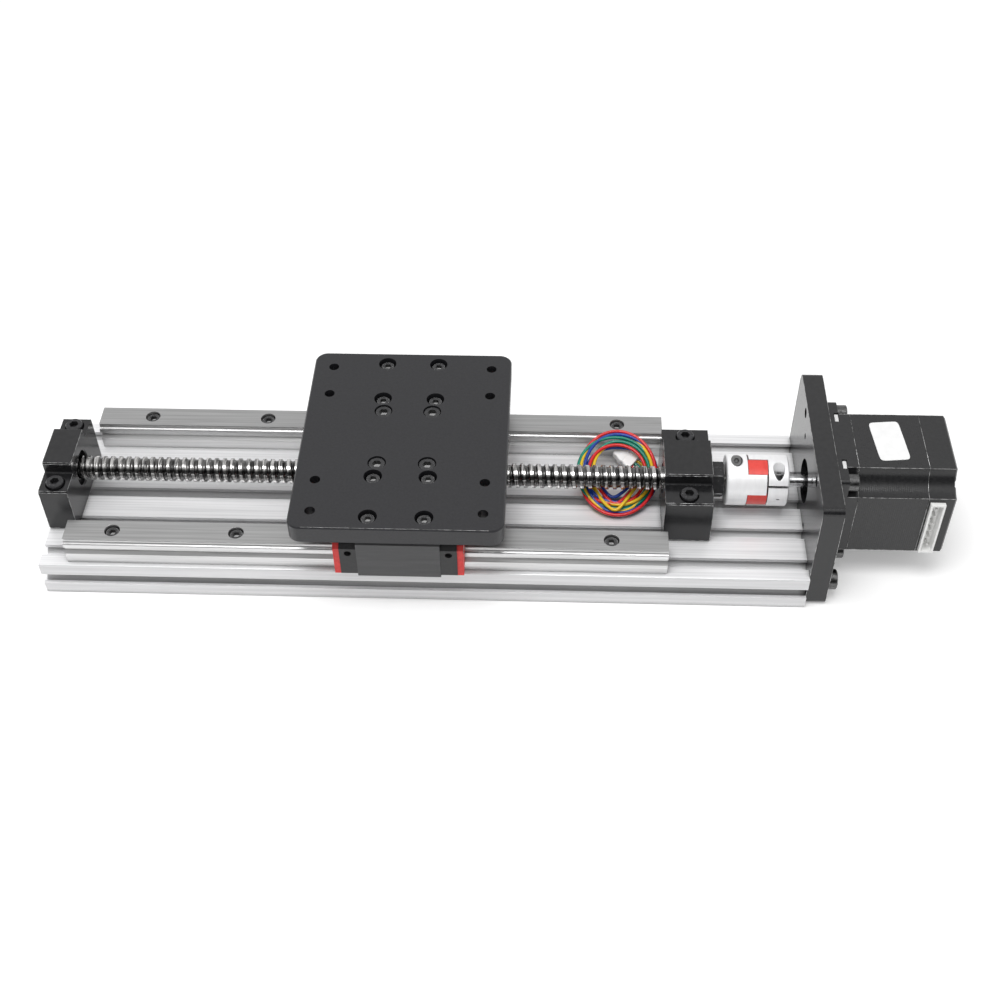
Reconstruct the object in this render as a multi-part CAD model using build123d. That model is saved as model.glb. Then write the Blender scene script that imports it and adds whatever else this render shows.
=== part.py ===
from build123d import *
import math
import os

# Ball screw linear module, in millimetres. X runs along the screw from the far support to the
# motor, Z is up and the underside of the base is at Z = 0. Stations along X are counted from the
# far end of the base, and each finished piece is moved so that the origin is below the middle.

# Screw threads
m2 = 2.0
m3 = 3.0
m4 = 4.0
m5 = 5.0
m6 = 6.0

# Fits between pieces
running_clearance = 0.3
seat_clearance = 0.02
head_clearance = 0.2
edge_break = 0.6

# Base extrusion with T-slots on all four sides
profile_length = 372.0
profile_height = 20.0
slot_pitch = 20.0
slot_count = 5
slot_opening = 6.2
slot_lip = 1.8
slot_cavity = 11.2
slot_floor = 5.8
slot_depth = 6.0
profile_wall = 1.5
core_bore = 5.0
tapped_spare = 0.5

# T-slot nuts
tee_nut_length = 10.0
tee_nut_neck = 5.8
tee_nut_width = 10.0
tee_nut_height = 3.4

# Guide rails
rail_length = 290.0
rail_width = 15.0
rail_height = 15.0
rail_start = 14.0
rail_first_hole_front = 23.0
rail_first_hole_back = 27.0
rail_hole_pitch = 60.0
rail_hole_count = 5
rail_counterbore = 7.5
rail_counterbore_depth = 5.3
rail_through_hole = 4.5
rail_screw_thread = m4
rail_screw_length = 14.0
rail_groove_radius = 1.65
rail_groove_inset = 0.05
rail_upper_groove = 13.9
rail_lower_groove = 8.45
rail_waist = 11.6
rail_waist_low = 7.6
rail_foot_height = 5.9

# Bearing blocks that run on the rails
block_rest_station = 176.65
block_width = 34.0
block_body_length = 39.4
block_height = 28.0
block_underside = 4.3
block_channel = 16.6
block_channel_top = 15.8
block_hole_pitch = 26.0
block_thread_depth = 5.6
block_edge = 1.0
block_screw_thread = m4
return_bore_wall = 1.0
end_cap_length = 8.0
end_cap_width = 33.4
end_cap_underside = 6.6
end_cap_top = 25.6
end_cap_port = 3.4
end_cap_port_depth = 2.0
end_seal_thickness = 3.0
end_seal_inset = 0.5
end_cap_screw_spacing = 24.0
end_cap_screw_height = 20.5
end_cap_screw_thread = m3
end_cap_screw_grip = 4.0
end_cap_screw_hole = 5.0
ball_diameter = 3.175
ball_row_shift = 0.15
ball_clearance = 0.1
balls_per_row = 11
nipple_radius = 2.5
nipple_length = 5.0
nipple_height = 20.5
nipple_neck_share = 0.6
nipple_ball_share = 0.7

# Carriage plate
plate_length = 100.0
plate_overhang = 4.0
plate_thickness = 10.0
plate_corner = 6.0
spacer_height = 4.4
plate_counterbore = 8.8
plate_counterbore_depth = 5.7
mounting_hole = 5.0
mounting_end = 10.0
mounting_edge = 11.0
mounting_spacing_y_inner = 60.0
block_screw_grip = 4.6

# Nut housing and ball nut
housing_length = 40.0
housing_side_gap = 1.0
housing_height = 29.6
housing_hole_pitch_x = 24.0
housing_hole_edge = 4.0
housing_screw_thread = m5
housing_screw_grip = 7.0
housing_hole_spare = 1.0
nut_body = 24.0
nut_length = 40.0
nut_flange = 40.0
nut_flange_thickness = 8.0
nut_flange_height = 29.0
nut_bolt_circle = 32.0
nut_bolt_thread = m4
nut_bolt_grip = 9.0
nut_bolt_hole = 4.5
nut_bore = 12.8
nut_track_radius = 7.35
nut_track_count = 3
nut_ball = 2.381
nut_balls_per_track = 14
nut_track_clearance = 0.05
wiper_length = 2.6
wiper_outer = 16.0

# Ball screw
screw_axis_height = 37.0
screw_diameter = 12.0
screw_lead = 4.0
thread_start = 12.0
thread_groove_radius = 1.25
thread_groove_centre = 6.25
far_journal = 6.0
far_journal_start = 1.5
far_neck = 9.5
drive_journal = 8.0
coupling_journal = 6.0
retaining_ring_outer = 9.0
retaining_ring_thickness = 0.7
retaining_groove_depth = 0.25
retaining_ring_gap = 2.6
thread_first_turn = 0.75
journal_step_gap = 0.4

# Far support
support_width = 52.0
support_shoulder = 26.0
support_height = 32.0
support_hump_width = 25.0
far_support_length = 14.0
support_bolt_counterbore = 9.5
support_bolt_counterbore_depth = 3.2
support_bolt_thread = m5
support_bolt_hole = 5.5
far_bearing_outer = 17.0
far_bearing_width = 6.0
far_bearing_station = 4.0
far_bearing_ball = 3.5

# Drive support
drive_support_length = 23.0
drive_bearing_outer = 22.0
drive_bearing_width = 7.0
drive_bearing_ball = 3.969
drive_wall = 4.0
collar_outer = 11.5
seal_outer = 15.0
seal_length = 2.4
cover_radius = 14.3
cover_thickness = 3.0
cover_screw_circle = 24.4
cover_screw_thread = m2
cover_screw_grip = 3.5
cover_hole_spare = 0.5
seal_inset = 0.3
seal_lip_gap = 0.1
lock_nut_flats = 16.0
lock_nut_length = 6.5
lock_nut_turn = 34.6
set_screw_turn = 150.0
set_screw_diameter = 3.0
set_screw_hexagon = 1.5
set_screw_recess = 1.2
set_screw_sink = 0.4

# Jaw coupling
coupling_diameter = 25.0
coupling_hub_length = 10.0
coupling_gap = 10.0
coupling_clearance = 1.0
jaw_turn = 57.0
jaw_spread = 48.0
jaw_root = 5.8
jaw_reach = 9.2
spider_arm_spread = 40.0
spider_core = 5.5
spider_bore = 3.6
spider_side_gap = 0.3
clamp_slit = 1.2
clamp_offset = 9.2
clamp_pocket = 5.8
clamp_seat = 3.2
clamp_grip = 6.0
clamp_thread = m3
slit_turn_screw_hub = -46.0
slit_turn_motor_hub = 60.0

# Motor plate
motor_plate_thickness = 10.0
motor_plate_width = 96.0
motor_plate_height = 66.0
motor_plate_corner = 3.5
plate_pilot = 22.0
plate_recess = 38.3
plate_recess_depth = 2.0
small_pattern = 31.0
small_pattern_hole = 3.0
plate_screw_counterbore_depth = 1.0
plate_screw_thread = m6
plate_screw_grip = 16.0

# Motor
motor_square = 56.4
motor_flange_thickness = 4.6
motor_flange_corner = 2.5
flange_pocket_length = 2.2
flange_pocket_width = 6.0
flange_pocket_depth = 1.2
flange_pocket_offset = 16.0
motor_front_end = 10.0
motor_stator_length = 33.0
motor_rear_length = 13.0
motor_rear_edge = 0.9
motor_corner_notch = 10.0
motor_pattern = 47.14
motor_boss = 38.1
motor_boss_height = 1.6
motor_shaft_diameter = 6.35
motor_shaft_reach = 28.0
motor_shaft_end_gap = 1.0
motor_head_pocket = 4.7
motor_mount_thread = m5
motor_mount_short = 1.0
motor_shaft_gap = 1.0
motor_case_pattern = 38.0
motor_case_thread = m3
motor_case_floor = 3.0
motor_case_spare = 0.5
motor_bell_wall = 3.0
stator_bore = 31.6
stator_slot_count = 8
stator_slot_inner = 17.5
stator_slot_outer = 22.5
stator_slot_spread = 22.0
stator_slot_mouth = 8.0
winding_gap = 0.3
winding_overhang = 3.0
rotor_diameter = 31.2
rotor_cup_length = 13.0
rotor_magnet_length = 3.0
rotor_magnet_diameter = 29.0
motor_bearing_outer = 19.0
motor_bearing_width = 5.0
motor_bearing_ball = 2.5

# Sections of every ball bearing
bearing_race_share = 0.65
bearing_fill = 0.8
shield_thickness = 0.3
shield_inset = 0.2
shield_gap = 0.2

# Motor label
label_length = 14.5
label_width = 26.0
label_thickness = 0.2
label_turn = 5.5

# Motor socket
socket_length = 33.0
socket_width = 7.0
socket_depth = 7.0
socket_wall = 1.0
socket_proud = 2.0
socket_drop = 0.8
socket_margin = 1.0
pin_count = 6
pin_side = 1.0
pin_length = 3.6

# Wiring harness, stowed as a tilted coil below the screw
harness_setback = 20.5
harness_middle = 12.0
harness_middle_height = 30.15
harness_half_length = 20.0
harness_half_width = 24.0
harness_band = 9.0
harness_thickness = 4.6
harness_tilt = 19.6
plug_length = 15.0
plug_width = 12.0
plug_thickness = 6.0
plug_setback = 18.0
plug_middle = 18.5
plug_height = 25.8
plug_turn = -40.0
plug_edge = 0.8

# Socket head cap screws: head diameter, head height and hexagon for each thread
cap_screws = {
    m2: (3.8, 1.6, 1.5),
    m3: (5.5, 3.0, 2.5),
    m4: (7.0, 4.0, 3.0),
    m5: (8.5, 5.0, 4.0),
    m6: (10.0, 6.0, 5.0),
}
head_bevel_share = 0.05

# Places that follow from the sizes above
profile_width = slot_pitch * slot_count
base_top = profile_height
rail_offset = slot_pitch * (slot_count - 1) / 2
rail_top = base_top + rail_height
block_top = base_top + block_height
block_inner_side = rail_offset - block_width / 2
block_outer_side = rail_offset + block_width / 2
housing_width = 2 * (block_inner_side - housing_side_gap)
housing_hole_pitch_y = housing_width - 2 * housing_hole_edge
plate_width = 2 * (block_outer_side + plate_overhang)
mounting_spacing_x = plate_length - 2 * mounting_end
mounting_spacing_y_outer = plate_width - 2 * mounting_edge
plate_bottom = block_top + spacer_height
plate_top = plate_bottom + plate_thickness
motor_plate_start = profile_length
motor_face = motor_plate_start + motor_plate_thickness
stator_start = motor_face + motor_front_end
stator_end = stator_start + motor_stator_length
motor_end = stator_end + motor_rear_length
overall_length = motor_end
motor_hub_start = motor_face - motor_shaft_reach - motor_shaft_end_gap
coupling_start = motor_hub_start - coupling_gap - coupling_hub_length
lock_nut_end = coupling_start - coupling_clearance
drive_support_end = lock_nut_end - lock_nut_length
drive_support_start = drive_support_end - drive_support_length
drive_bearing_start = drive_support_start + drive_wall
drive_bearing_stop = drive_bearing_start + 2 * drive_bearing_width
thread_end = drive_bearing_start - seal_length - 2 * seal_inset
harness_station = drive_support_start - harness_setback
plug_station = drive_support_start - plug_setback
slot_rows = [slot_pitch * (n - (slot_count - 1) / 2) for n in range(slot_count)]


# Plain solids, placed by their limits

def rod(radius, start, end, y=0.0, z=0.0):
    """A cylinder along X."""
    shape = Cylinder(radius, end - start, align=(Align.CENTER, Align.CENTER, Align.MIN))
    return Pos(start, y, z) * Rot(0, 90, 0) * shape


def ring(outer, inner, start, end, y=0.0, z=0.0):
    """A tube along X, given its two radii."""
    return rod(outer, start, end, y, z) - rod(inner, start - 1, end + 1, y, z)


def post(radius, bottom, top, x, y):
    """A cylinder along Z."""
    shape = Cylinder(radius, top - bottom, align=(Align.CENTER, Align.CENTER, Align.MIN))
    return Pos(x, y, bottom) * shape


def bar(x0, x1, y0, y1, z0, z1):
    """A rectangular block between its limits."""
    return Pos((x0 + x1) / 2, (y0 + y1) / 2, (z0 + z1) / 2) * Box(x1 - x0, y1 - y0, z1 - z0)


def along_x(section, start, end):
    """A flat section, drawn with Y to the right and Z up, carried along X."""
    return extrude(Plane.YZ.offset(start) * section, amount=end - start, dir=(1, 0, 0))


def outline(points):
    """A filled polygon through the points."""
    return Polygon(*points, align=None)


def sector(outer, inner, spread, turn, start, end):
    """A wedge of a tube along X, centred on a turn that is counted from the top."""
    steps = 12
    angles = [math.radians(turn - spread / 2 + spread * n / steps) for n in range(steps + 1)]
    arc_out = [(-outer * math.sin(a), outer * math.cos(a)) for a in angles]
    arc_in = [(-inner * math.sin(a), inner * math.cos(a)) for a in reversed(angles)]
    return along_x(outline(arc_out + arc_in), start, end)


def lifted(shape, y=0.0):
    """Move a shape that was built on the X axis up to the screw's axis."""
    return Pos(0, y, screw_axis_height) * shape


def group(pieces):
    """Separate solids that share one node."""
    return Compound([solid for piece in pieces for solid in piece.solids()])


def cap_screw(thread, length):
    """A socket head cap screw that points down, with its head seated at the origin."""
    head, height, flats = cap_screws[thread]
    shank = Cylinder(thread / 2, length, align=(Align.CENTER, Align.CENTER, Align.MAX))
    top = Cylinder(head / 2, height, align=(Align.CENTER, Align.CENTER, Align.MIN))
    rim = top.edges().group_by(Axis.Z)[-1]
    top = chamfer(rim, head * head_bevel_share)
    hexagon = RegularPolygon(flats / 2, 6, major_radius=False)
    recess = extrude(Pos(0, 0, height / 2) * hexagon, amount=height)
    return shank + top - recess


def clear_hole(thread, bottom, top, x, y):
    """An upright hole that a screw of this thread just fills."""
    return post(thread / 2 + seat_clearance, bottom, top, x, y)


def clear_bore(thread, start, end, y, z):
    """The same hole along X."""
    return rod(thread / 2 + seat_clearance, start, end, y, z)


def facing_x(shape, direction):
    """Turn a shape that points up so that it points along +X or -X."""
    return Rot(0, 90 * direction, 0) * shape


# Base extrusion

def slot_section():
    """A T-slot that opens upwards, with its mouth at the origin."""
    mouth = slot_opening / 2
    cavity = slot_cavity / 2
    floor = slot_floor / 2
    slope_start = slot_depth - (cavity - floor)
    right = [(mouth, 1), (mouth, -slot_lip), (cavity, -slot_lip)]
    right += [(cavity, -slope_start), (floor, -slot_depth)]
    left = [(-y, z) for y, z in reversed(right)]
    return outline(right + left)


def chamber_section():
    """The hollow between two neighbouring slots, which leaves an even wall."""
    top = profile_height / 2 - slot_lip
    narrow = slot_pitch / 2 - slot_cavity / 2 - profile_wall
    wide = slot_pitch / 2 - slot_floor / 2 - profile_wall
    slope_start = profile_height / 2 - slot_depth + (slot_cavity - slot_floor) / 2
    slope_start -= profile_wall * (math.sqrt(2) - 1)
    slope_end = slope_start - (wide - narrow)
    quarter = [(narrow, top), (narrow, slope_start), (wide, slope_end)]
    lower = [(y, -z) for y, z in reversed(quarter)]
    left = [(-y, -z) for y, z in quarter + lower]
    return outline(quarter + lower + left)


def base_profile():
    half_width = profile_width / 2
    half_height = profile_height / 2
    section = Rectangle(profile_width, profile_height)
    section = fillet(section.vertices(), edge_break)
    slot = slot_section()
    for y in slot_rows:
        section -= Pos(y, half_height) * slot
        section -= Pos(y, -half_height) * Rot(0, 0, 180) * slot
        section -= Pos(y, 0) * Circle(core_bore / 2)
    section -= Pos(half_width, 0) * Rot(0, 0, -90) * slot
    section -= Pos(-half_width, 0) * Rot(0, 0, 90) * slot
    for y in slot_rows[1:]:
        section -= Pos(y - slot_pitch / 2, 0) * chamber_section()
    body = Pos(0, 0, half_height) * along_x(section, 0, profile_length)
    for y in (-rail_offset, rail_offset):
        bottom = profile_length - plate_screw_grip - tapped_spare
        body -= clear_bore(plate_screw_thread, bottom, profile_length + 1, y, half_height)
    return body


# T-slot nuts, whose neck fits the slot and whose wings bear under its lips

def tee_nut(thread, x, y):
    neck = tee_nut_neck / 2
    wing = tee_nut_width / 2
    low = slot_lip + tee_nut_height
    floor = wing - (low - slot_depth + (slot_cavity - slot_floor) / 2)
    knee = slot_depth - (slot_cavity - slot_floor) / 2
    right = [(neck, -edge_break), (neck, -slot_lip), (wing, -slot_lip), (wing, -knee), (floor, -low)]
    left = [(-a, b) for a, b in reversed(right)]
    body = along_x(outline(right + left), -tee_nut_length / 2, tee_nut_length / 2)
    body -= clear_hole(thread, -profile_height, 1, 0, 0)
    return Pos(x, y, base_top) * body


# Guide rails

def rail_section():
    half = rail_width / 2
    waist = rail_waist / 2
    section = Pos(0, rail_height / 2) * Rectangle(rail_width, rail_height)
    for side in (-1, 1):
        for height in (rail_upper_groove, rail_lower_groove):
            section -= Pos(side * (half - rail_groove_inset), height) * Circle(rail_groove_radius)
        cut = [(waist, rail_lower_groove), (waist, rail_waist_low), (half, rail_foot_height)]
        cut += [(half + 1, rail_foot_height), (half + 1, rail_lower_groove)]
        section -= outline([(side * y, z) for y, z in cut])
    return section


def rail_holes(first):
    return [rail_start + first + rail_hole_pitch * n for n in range(rail_hole_count)]


def rail(y, first):
    body = along_x(rail_section(), rail_start, rail_start + rail_length)
    for x in rail_holes(first):
        body -= post(rail_through_hole / 2, -1, rail_height + 1, x, 0)
        body -= post(rail_counterbore / 2, rail_height - rail_counterbore_depth, rail_height + 1, x, 0)
    return Pos(0, y, base_top) * body


rail_hole_places = [(x, -rail_offset) for x in rail_holes(rail_first_hole_front)]
rail_hole_places += [(x, rail_offset) for x in rail_holes(rail_first_hole_back)]
rail_screw_seat = rail_top - rail_counterbore_depth


def rail_screws():
    screw = cap_screw(rail_screw_thread, rail_screw_length)
    return group([Pos(x, y, rail_screw_seat) * screw for x, y in rail_hole_places])


# Screw supports, two blocks of one section

def support_section():
    half = support_width / 2
    hump = support_hump_width / 2
    right = [(half, 0), (half, support_shoulder), (hump, support_shoulder), (hump, support_height)]
    left = [(-y, z) for y, z in reversed(right)]
    section = outline(right + left)
    return chamfer(section.vertices(), edge_break)


support_bolt_rows = [-slot_pitch, slot_pitch]
far_support_middle = far_support_length / 2
drive_support_middle = drive_support_start + drive_support_length / 2
support_bolt_places = [(x, y) for x in (far_support_middle, drive_support_middle) for y in support_bolt_rows]
support_bolt_seat = base_top + support_shoulder - support_bolt_counterbore_depth
support_bolt_length = support_bolt_seat - base_top + slot_lip + tee_nut_height


def support_body(start, end):
    body = Pos(0, 0, base_top) * along_x(support_section(), start, end)
    for y in support_bolt_rows:
        x = (start + end) / 2
        body -= post(support_bolt_hole / 2, 0, plate_top, x, y)
        body -= post(support_bolt_counterbore / 2, support_bolt_seat, plate_top, x, y)
    return body


def far_support_housing():
    bore = far_bearing_outer / 2 + seat_clearance
    body = support_body(0, far_support_length) - lifted(rod(bore, -1, far_support_length + 1))
    rims = body.edges().filter_by(GeomType.CIRCLE)
    rims = rims.filter_by(lambda rim: abs(rim.radius - bore) < seat_clearance / 2)
    return chamfer(rims, edge_break)


def drive_support_housing():
    body = support_body(drive_support_start, drive_support_end)
    body -= lifted(rod(seal_outer / 2 + seat_clearance, drive_support_start - 1, drive_support_end))
    body -= lifted(rod(drive_bearing_outer / 2 + seat_clearance, drive_bearing_start, drive_support_end + 1))
    cover_seat = drive_support_end - cover_thickness
    body -= lifted(rod(cover_radius + seat_clearance, cover_seat, drive_support_end + 1))
    hole_bottom = cover_seat - cover_screw_grip - cover_hole_spare
    for y, z in cover_screw_places:
        body -= clear_bore(cover_screw_thread, hole_bottom, cover_seat + 1, y, z)
    return body


def quarter_places(radius):
    """Four places on a circle about the screw's axis, at 45 degrees."""
    leg = radius / math.sqrt(2)
    return [(a * leg, screw_axis_height + b * leg) for a in (-1, 1) for b in (-1, 1)]


cover_screw_places = quarter_places(cover_screw_circle / 2)
cover_screw_head, cover_screw_head_height, cover_screw_hexagon = cap_screws[cover_screw_thread]
cover_screw_seat = drive_support_end - cover_screw_head_height


def drive_support_cover():
    seat = drive_support_end - cover_thickness
    spigot_outer = drive_bearing_outer / 2 - seat_clearance
    disc = rod(cover_radius, seat, drive_support_end)
    disc += rod(spigot_outer, drive_bearing_stop, seat)
    disc -= rod(drive_bearing_outer / 2 - profile_wall, drive_bearing_stop - 1, seat)
    disc -= rod(seal_outer / 2, drive_bearing_stop - 1, drive_support_end + 1)
    disc = lifted(disc)
    sink = (cover_screw_head + head_clearance) / 2
    for y, z in cover_screw_places:
        disc -= clear_bore(cover_screw_thread, seat - 1, drive_support_end + 1, y, z)
        disc -= rod(sink, cover_screw_seat, drive_support_end + 1, y, z)
    return disc


def drive_support_cover_screws():
    length = cover_thickness - cover_screw_head_height + cover_screw_grip
    screw = facing_x(cap_screw(cover_screw_thread, length), 1)
    return group([Pos(cover_screw_seat, y, z) * screw for y, z in cover_screw_places])


def drive_support_seals():
    inner = collar_outer / 2 + seal_lip_gap
    outer = seal_outer / 2 - seat_clearance
    ends = (drive_bearing_start - seal_inset, drive_support_end - seal_inset)
    return group([lifted(ring(outer, inner, end - seal_length, end)) for end in ends])


def support_bolts():
    bolt = cap_screw(support_bolt_thread, support_bolt_length)
    return group([Pos(x, y, support_bolt_seat) * bolt for x, y in support_bolt_places])


def tee_nuts():
    rail_nuts = [tee_nut(rail_screw_thread, x, y) for x, y in rail_hole_places]
    return group(rail_nuts + [tee_nut(support_bolt_thread, x, y) for x, y in support_bolt_places])


# Ball bearings: each has an outer ring, an inner ring, a row of balls and two shields

def bearing(outer, bore, width, ball, start):
    """The four parts of one deep-groove bearing, in this order: outer, inner, balls, shields."""
    outer_radius = outer / 2
    bore_radius = bore / 2 + seat_clearance
    row = (outer_radius + bore_radius) / 2
    wall = (outer_radius - bore_radius - ball * bearing_race_share) / 2
    middle = start + width / 2
    track = Pos(middle, 0, 0) * Rot(0, 90, 0) * Torus(row, ball / 2 + ball_clearance)
    outer_ring = ring(outer_radius, outer_radius - wall, start, start + width) - track
    inner_ring = ring(bore_radius + wall, bore_radius, start, start + width) - track
    count = int(math.pi * row / (ball * bearing_fill))
    balls = []
    for n in range(count):
        angle = 2 * math.pi * n / count
        place = Pos(middle, row * math.sin(angle), row * math.cos(angle))
        balls.append(place * Sphere(ball / 2))
    shields = []
    shield_bore = bore_radius + wall + shield_gap
    for edge in (start + shield_inset, start + width - shield_inset - shield_thickness):
        shields.append(ring(outer_radius - wall, shield_bore, edge, edge + shield_thickness))
    moving = [lifted(ball) for ball in balls]
    return lifted(outer_ring), lifted(inner_ring), moving, [lifted(shield) for shield in shields]


far_sizes = (far_bearing_outer, far_journal, far_bearing_width, far_bearing_ball)
far_bearing = bearing(*far_sizes, far_bearing_station)
drive_sizes = (drive_bearing_outer, drive_journal, drive_bearing_width, drive_bearing_ball)
drive_bearings = [bearing(*drive_sizes, drive_bearing_start)]
drive_bearings += [bearing(*drive_sizes, drive_bearing_start + drive_bearing_width)]
motor_bearing_front = motor_face + motor_boss_height
motor_bearing_rear = motor_end - motor_bell_wall - motor_bearing_width
motor_sizes = (motor_bearing_outer, motor_shaft_diameter, motor_bearing_width, motor_bearing_ball)
motor_bearings = [bearing(*motor_sizes, station) for station in (motor_bearing_front, motor_bearing_rear)]


# Ball screw, whose thread is drawn as one round groove per turn

def ball_screw():
    crest = screw_diameter / 2
    groove_bottom = thread_groove_centre - thread_groove_radius
    half_groove = math.sqrt(thread_groove_radius ** 2 - (thread_groove_centre - crest) ** 2)
    journal = far_journal / 2
    ring_edge = far_bearing_station - seat_clearance
    groove_start = ring_edge - retaining_ring_thickness - 2 * seat_clearance
    groove = journal - retaining_groove_depth
    neck_end = far_bearing_station + far_bearing_width
    near = [(far_journal_start, 0), (far_journal_start, journal - edge_break / 2)]
    near += [(far_journal_start + edge_break / 2, journal), (groove_start, journal), (groove_start, groove)]
    near += [(ring_edge, groove), (ring_edge, journal), (neck_end, journal), (neck_end, far_neck / 2)]
    near += [(thread_start, far_neck / 2), (thread_start, crest)]
    edges = [Line(a, b) for a, b in zip(near, near[1:])]
    place = (thread_start, crest)
    turns = int((thread_end - thread_start - screw_lead / 2) / screw_lead)
    for n in range(turns):
        middle = thread_start + screw_lead * (n + thread_first_turn)
        edges.append(Line(place, (middle - half_groove, crest)))
        place = (middle + half_groove, crest)
        edges.append(ThreePointArc((middle - half_groove, crest), (middle, groove_bottom), place))
    step = lock_nut_end + journal_step_gap
    end = coupling_start + coupling_hub_length
    far_side = [place, (thread_end, crest), (thread_end, drive_journal / 2), (step, drive_journal / 2)]
    far_side += [(step, coupling_journal / 2), (end, coupling_journal / 2), (end, 0), near[0]]
    edges += [Line(a, b) for a, b in zip(far_side, far_side[1:])]
    return lifted(revolve(make_face(Wire(edges)), Axis.X))


def retaining_ring():
    end = far_bearing_station - 2 * seat_clearance
    inner = far_journal / 2 - retaining_groove_depth + seat_clearance
    body = ring(retaining_ring_outer / 2, inner, end - retaining_ring_thickness, end)
    gap = retaining_ring_gap / 2
    return lifted(body - bar(0, far_bearing_station, -gap, gap, 0, retaining_ring_outer))


def drive_collars():
    bore = drive_journal / 2 + seat_clearance
    first = ring(collar_outer / 2, bore, thread_end, drive_bearing_start)
    second = ring(collar_outer / 2, bore, drive_bearing_stop, drive_support_end)
    return group([lifted(first), lifted(second)])


lock_nut_middle = (drive_support_end + lock_nut_end) / 2


def lock_nut():
    hexagon = RegularPolygon(lock_nut_flats / 2, 6, major_radius=False)
    body = along_x(hexagon, drive_support_end, lock_nut_end)
    corner = lock_nut_flats / math.sqrt(3)
    body &= chamfer(rod(corner, drive_support_end, lock_nut_end).edges(), edge_break)
    body -= rod(drive_journal / 2 + seat_clearance, drive_support_end - 1, lock_nut_end + 1)
    body -= clear_hole(set_screw_diameter, drive_journal / 2, lock_nut_flats, lock_nut_middle, 0)
    return lifted(Rot(lock_nut_turn + set_screw_turn, 0, 0) * body)


def lock_nut_set_screw():
    top = lock_nut_flats / 2 - set_screw_sink
    body = post(set_screw_diameter / 2, drive_journal / 2 + 2 * seat_clearance, top, lock_nut_middle, 0)
    hexagon = RegularPolygon(set_screw_hexagon / 2, 6, major_radius=False)
    body -= extrude(Pos(lock_nut_middle, 0, top - set_screw_recess) * hexagon, amount=2 * set_screw_recess)
    return lifted(Rot(lock_nut_turn + set_screw_turn, 0, 0) * body)


# Jaw coupling: two clamping hubs and the elastic spider between them

def clamp_place(start, inward, slit_turn):
    """The middle of a hub's clamp screw, square to the slit."""
    across = Pos(start + coupling_hub_length / 2, 0, clamp_offset) * Rot(90 * inward, 0, 0)
    return Rot(slit_turn, 0, 0) * across


def coupling_hub(start, inward, bore, first_jaw, slit_turn):
    """A hub whose jaws point along +X or -X, as inward says, with its clamp screw across the slit."""
    end = start + coupling_hub_length
    radius = coupling_diameter / 2
    body = rod(radius, start, end)
    outer_face = body.faces().sort_by(Axis.X)[0 if inward > 0 else -1]
    body = chamfer(outer_face.edges(), edge_break)
    jaw_from = end if inward > 0 else start - jaw_reach
    for turn in (first_jaw, first_jaw + 180):
        jaw = sector(radius, jaw_root, jaw_spread, turn, jaw_from, jaw_from + jaw_reach)
        body += jaw & rod(radius, 0, overall_length)
    body -= rod(bore / 2 + seat_clearance, start - jaw_reach, end + jaw_reach)
    slit = bar(start - 1, end + 1, -clamp_slit / 2, clamp_slit / 2, 0, radius + 1)
    body -= (Rot(slit_turn, 0, 0) * slit) & rod(radius + 1, start, end)
    cross = clear_hole(clamp_thread, -clamp_grip - 1, clamp_seat + 1, 0, 0)
    cross += post(clamp_pocket / 2, clamp_seat, radius, 0, 0)
    body -= clamp_place(start, inward, slit_turn) * cross
    return lifted(body)


def clamp_screw(start, inward, slit_turn):
    place = clamp_place(start, inward, slit_turn) * Pos(0, 0, clamp_seat)
    return lifted(place * cap_screw(clamp_thread, clamp_seat + clamp_grip))




def coupling_hub_screw_side():
    return coupling_hub(coupling_start, 1, coupling_journal, jaw_turn, slit_turn_screw_hub)


def coupling_hub_motor_side():
    return coupling_hub(motor_hub_start, -1, motor_shaft_diameter, jaw_turn + 90, slit_turn_motor_hub)


def coupling_clamp_screws():
    first = clamp_screw(coupling_start, 1, slit_turn_screw_hub)
    second = clamp_screw(motor_hub_start, -1, slit_turn_motor_hub)
    return group([first, second])


def coupling_spider():
    start = coupling_start + coupling_hub_length + spider_side_gap
    end = motor_hub_start - spider_side_gap
    body = rod(spider_core, start, end)
    reach = coupling_diameter / 2 - running_clearance
    for n in range(4):
        body += sector(reach, spider_bore, spider_arm_spread, jaw_turn + 45 + 90 * n, start, end)
    return lifted(body - rod(spider_bore, start - 1, end + 1))


# Motor plate

motor_case_places = quarter_places(motor_case_pattern / math.sqrt(2))
motor_mount_places = quarter_places(motor_pattern / math.sqrt(2))
plate_screw_seat = motor_face - plate_screw_counterbore_depth


def motor_plate():
    half = motor_plate_width / 2
    body = bar(motor_plate_start, motor_face, -half, half, 0, motor_plate_height)
    long_edges = body.edges().filter_by(Axis.X)
    body = fillet(long_edges, motor_plate_corner)
    body -= lifted(rod(plate_pilot / 2, motor_plate_start - 1, motor_face + 1))
    body -= lifted(rod(plate_recess / 2, motor_face - plate_recess_depth, motor_face + 1))
    for y, z in motor_mount_places:
        body -= clear_bore(motor_mount_thread, motor_plate_start - 1, motor_face + 1, y, z)
    for y, z in quarter_places(small_pattern / math.sqrt(2)):
        body -= rod(small_pattern_hole / 2, motor_plate_start - 1, motor_face + 1, y, z)
    z = profile_height / 2
    head = cap_screws[plate_screw_thread][0] / 2 + running_clearance
    hole = plate_screw_thread / 2 + running_clearance
    for y in (-rail_offset, rail_offset):
        body -= rod(hole, motor_plate_start - 1, motor_face + 1, y, z)
        body -= rod(head, plate_screw_seat, motor_face + 1, y, z)
    return body


def motor_plate_screws():
    length = plate_screw_seat - profile_length + plate_screw_grip
    screw = facing_x(cap_screw(plate_screw_thread, length), 1)
    return group([Pos(plate_screw_seat, y, profile_height / 2) * screw for y in (-rail_offset, rail_offset)])


# Stepper motor

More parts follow.
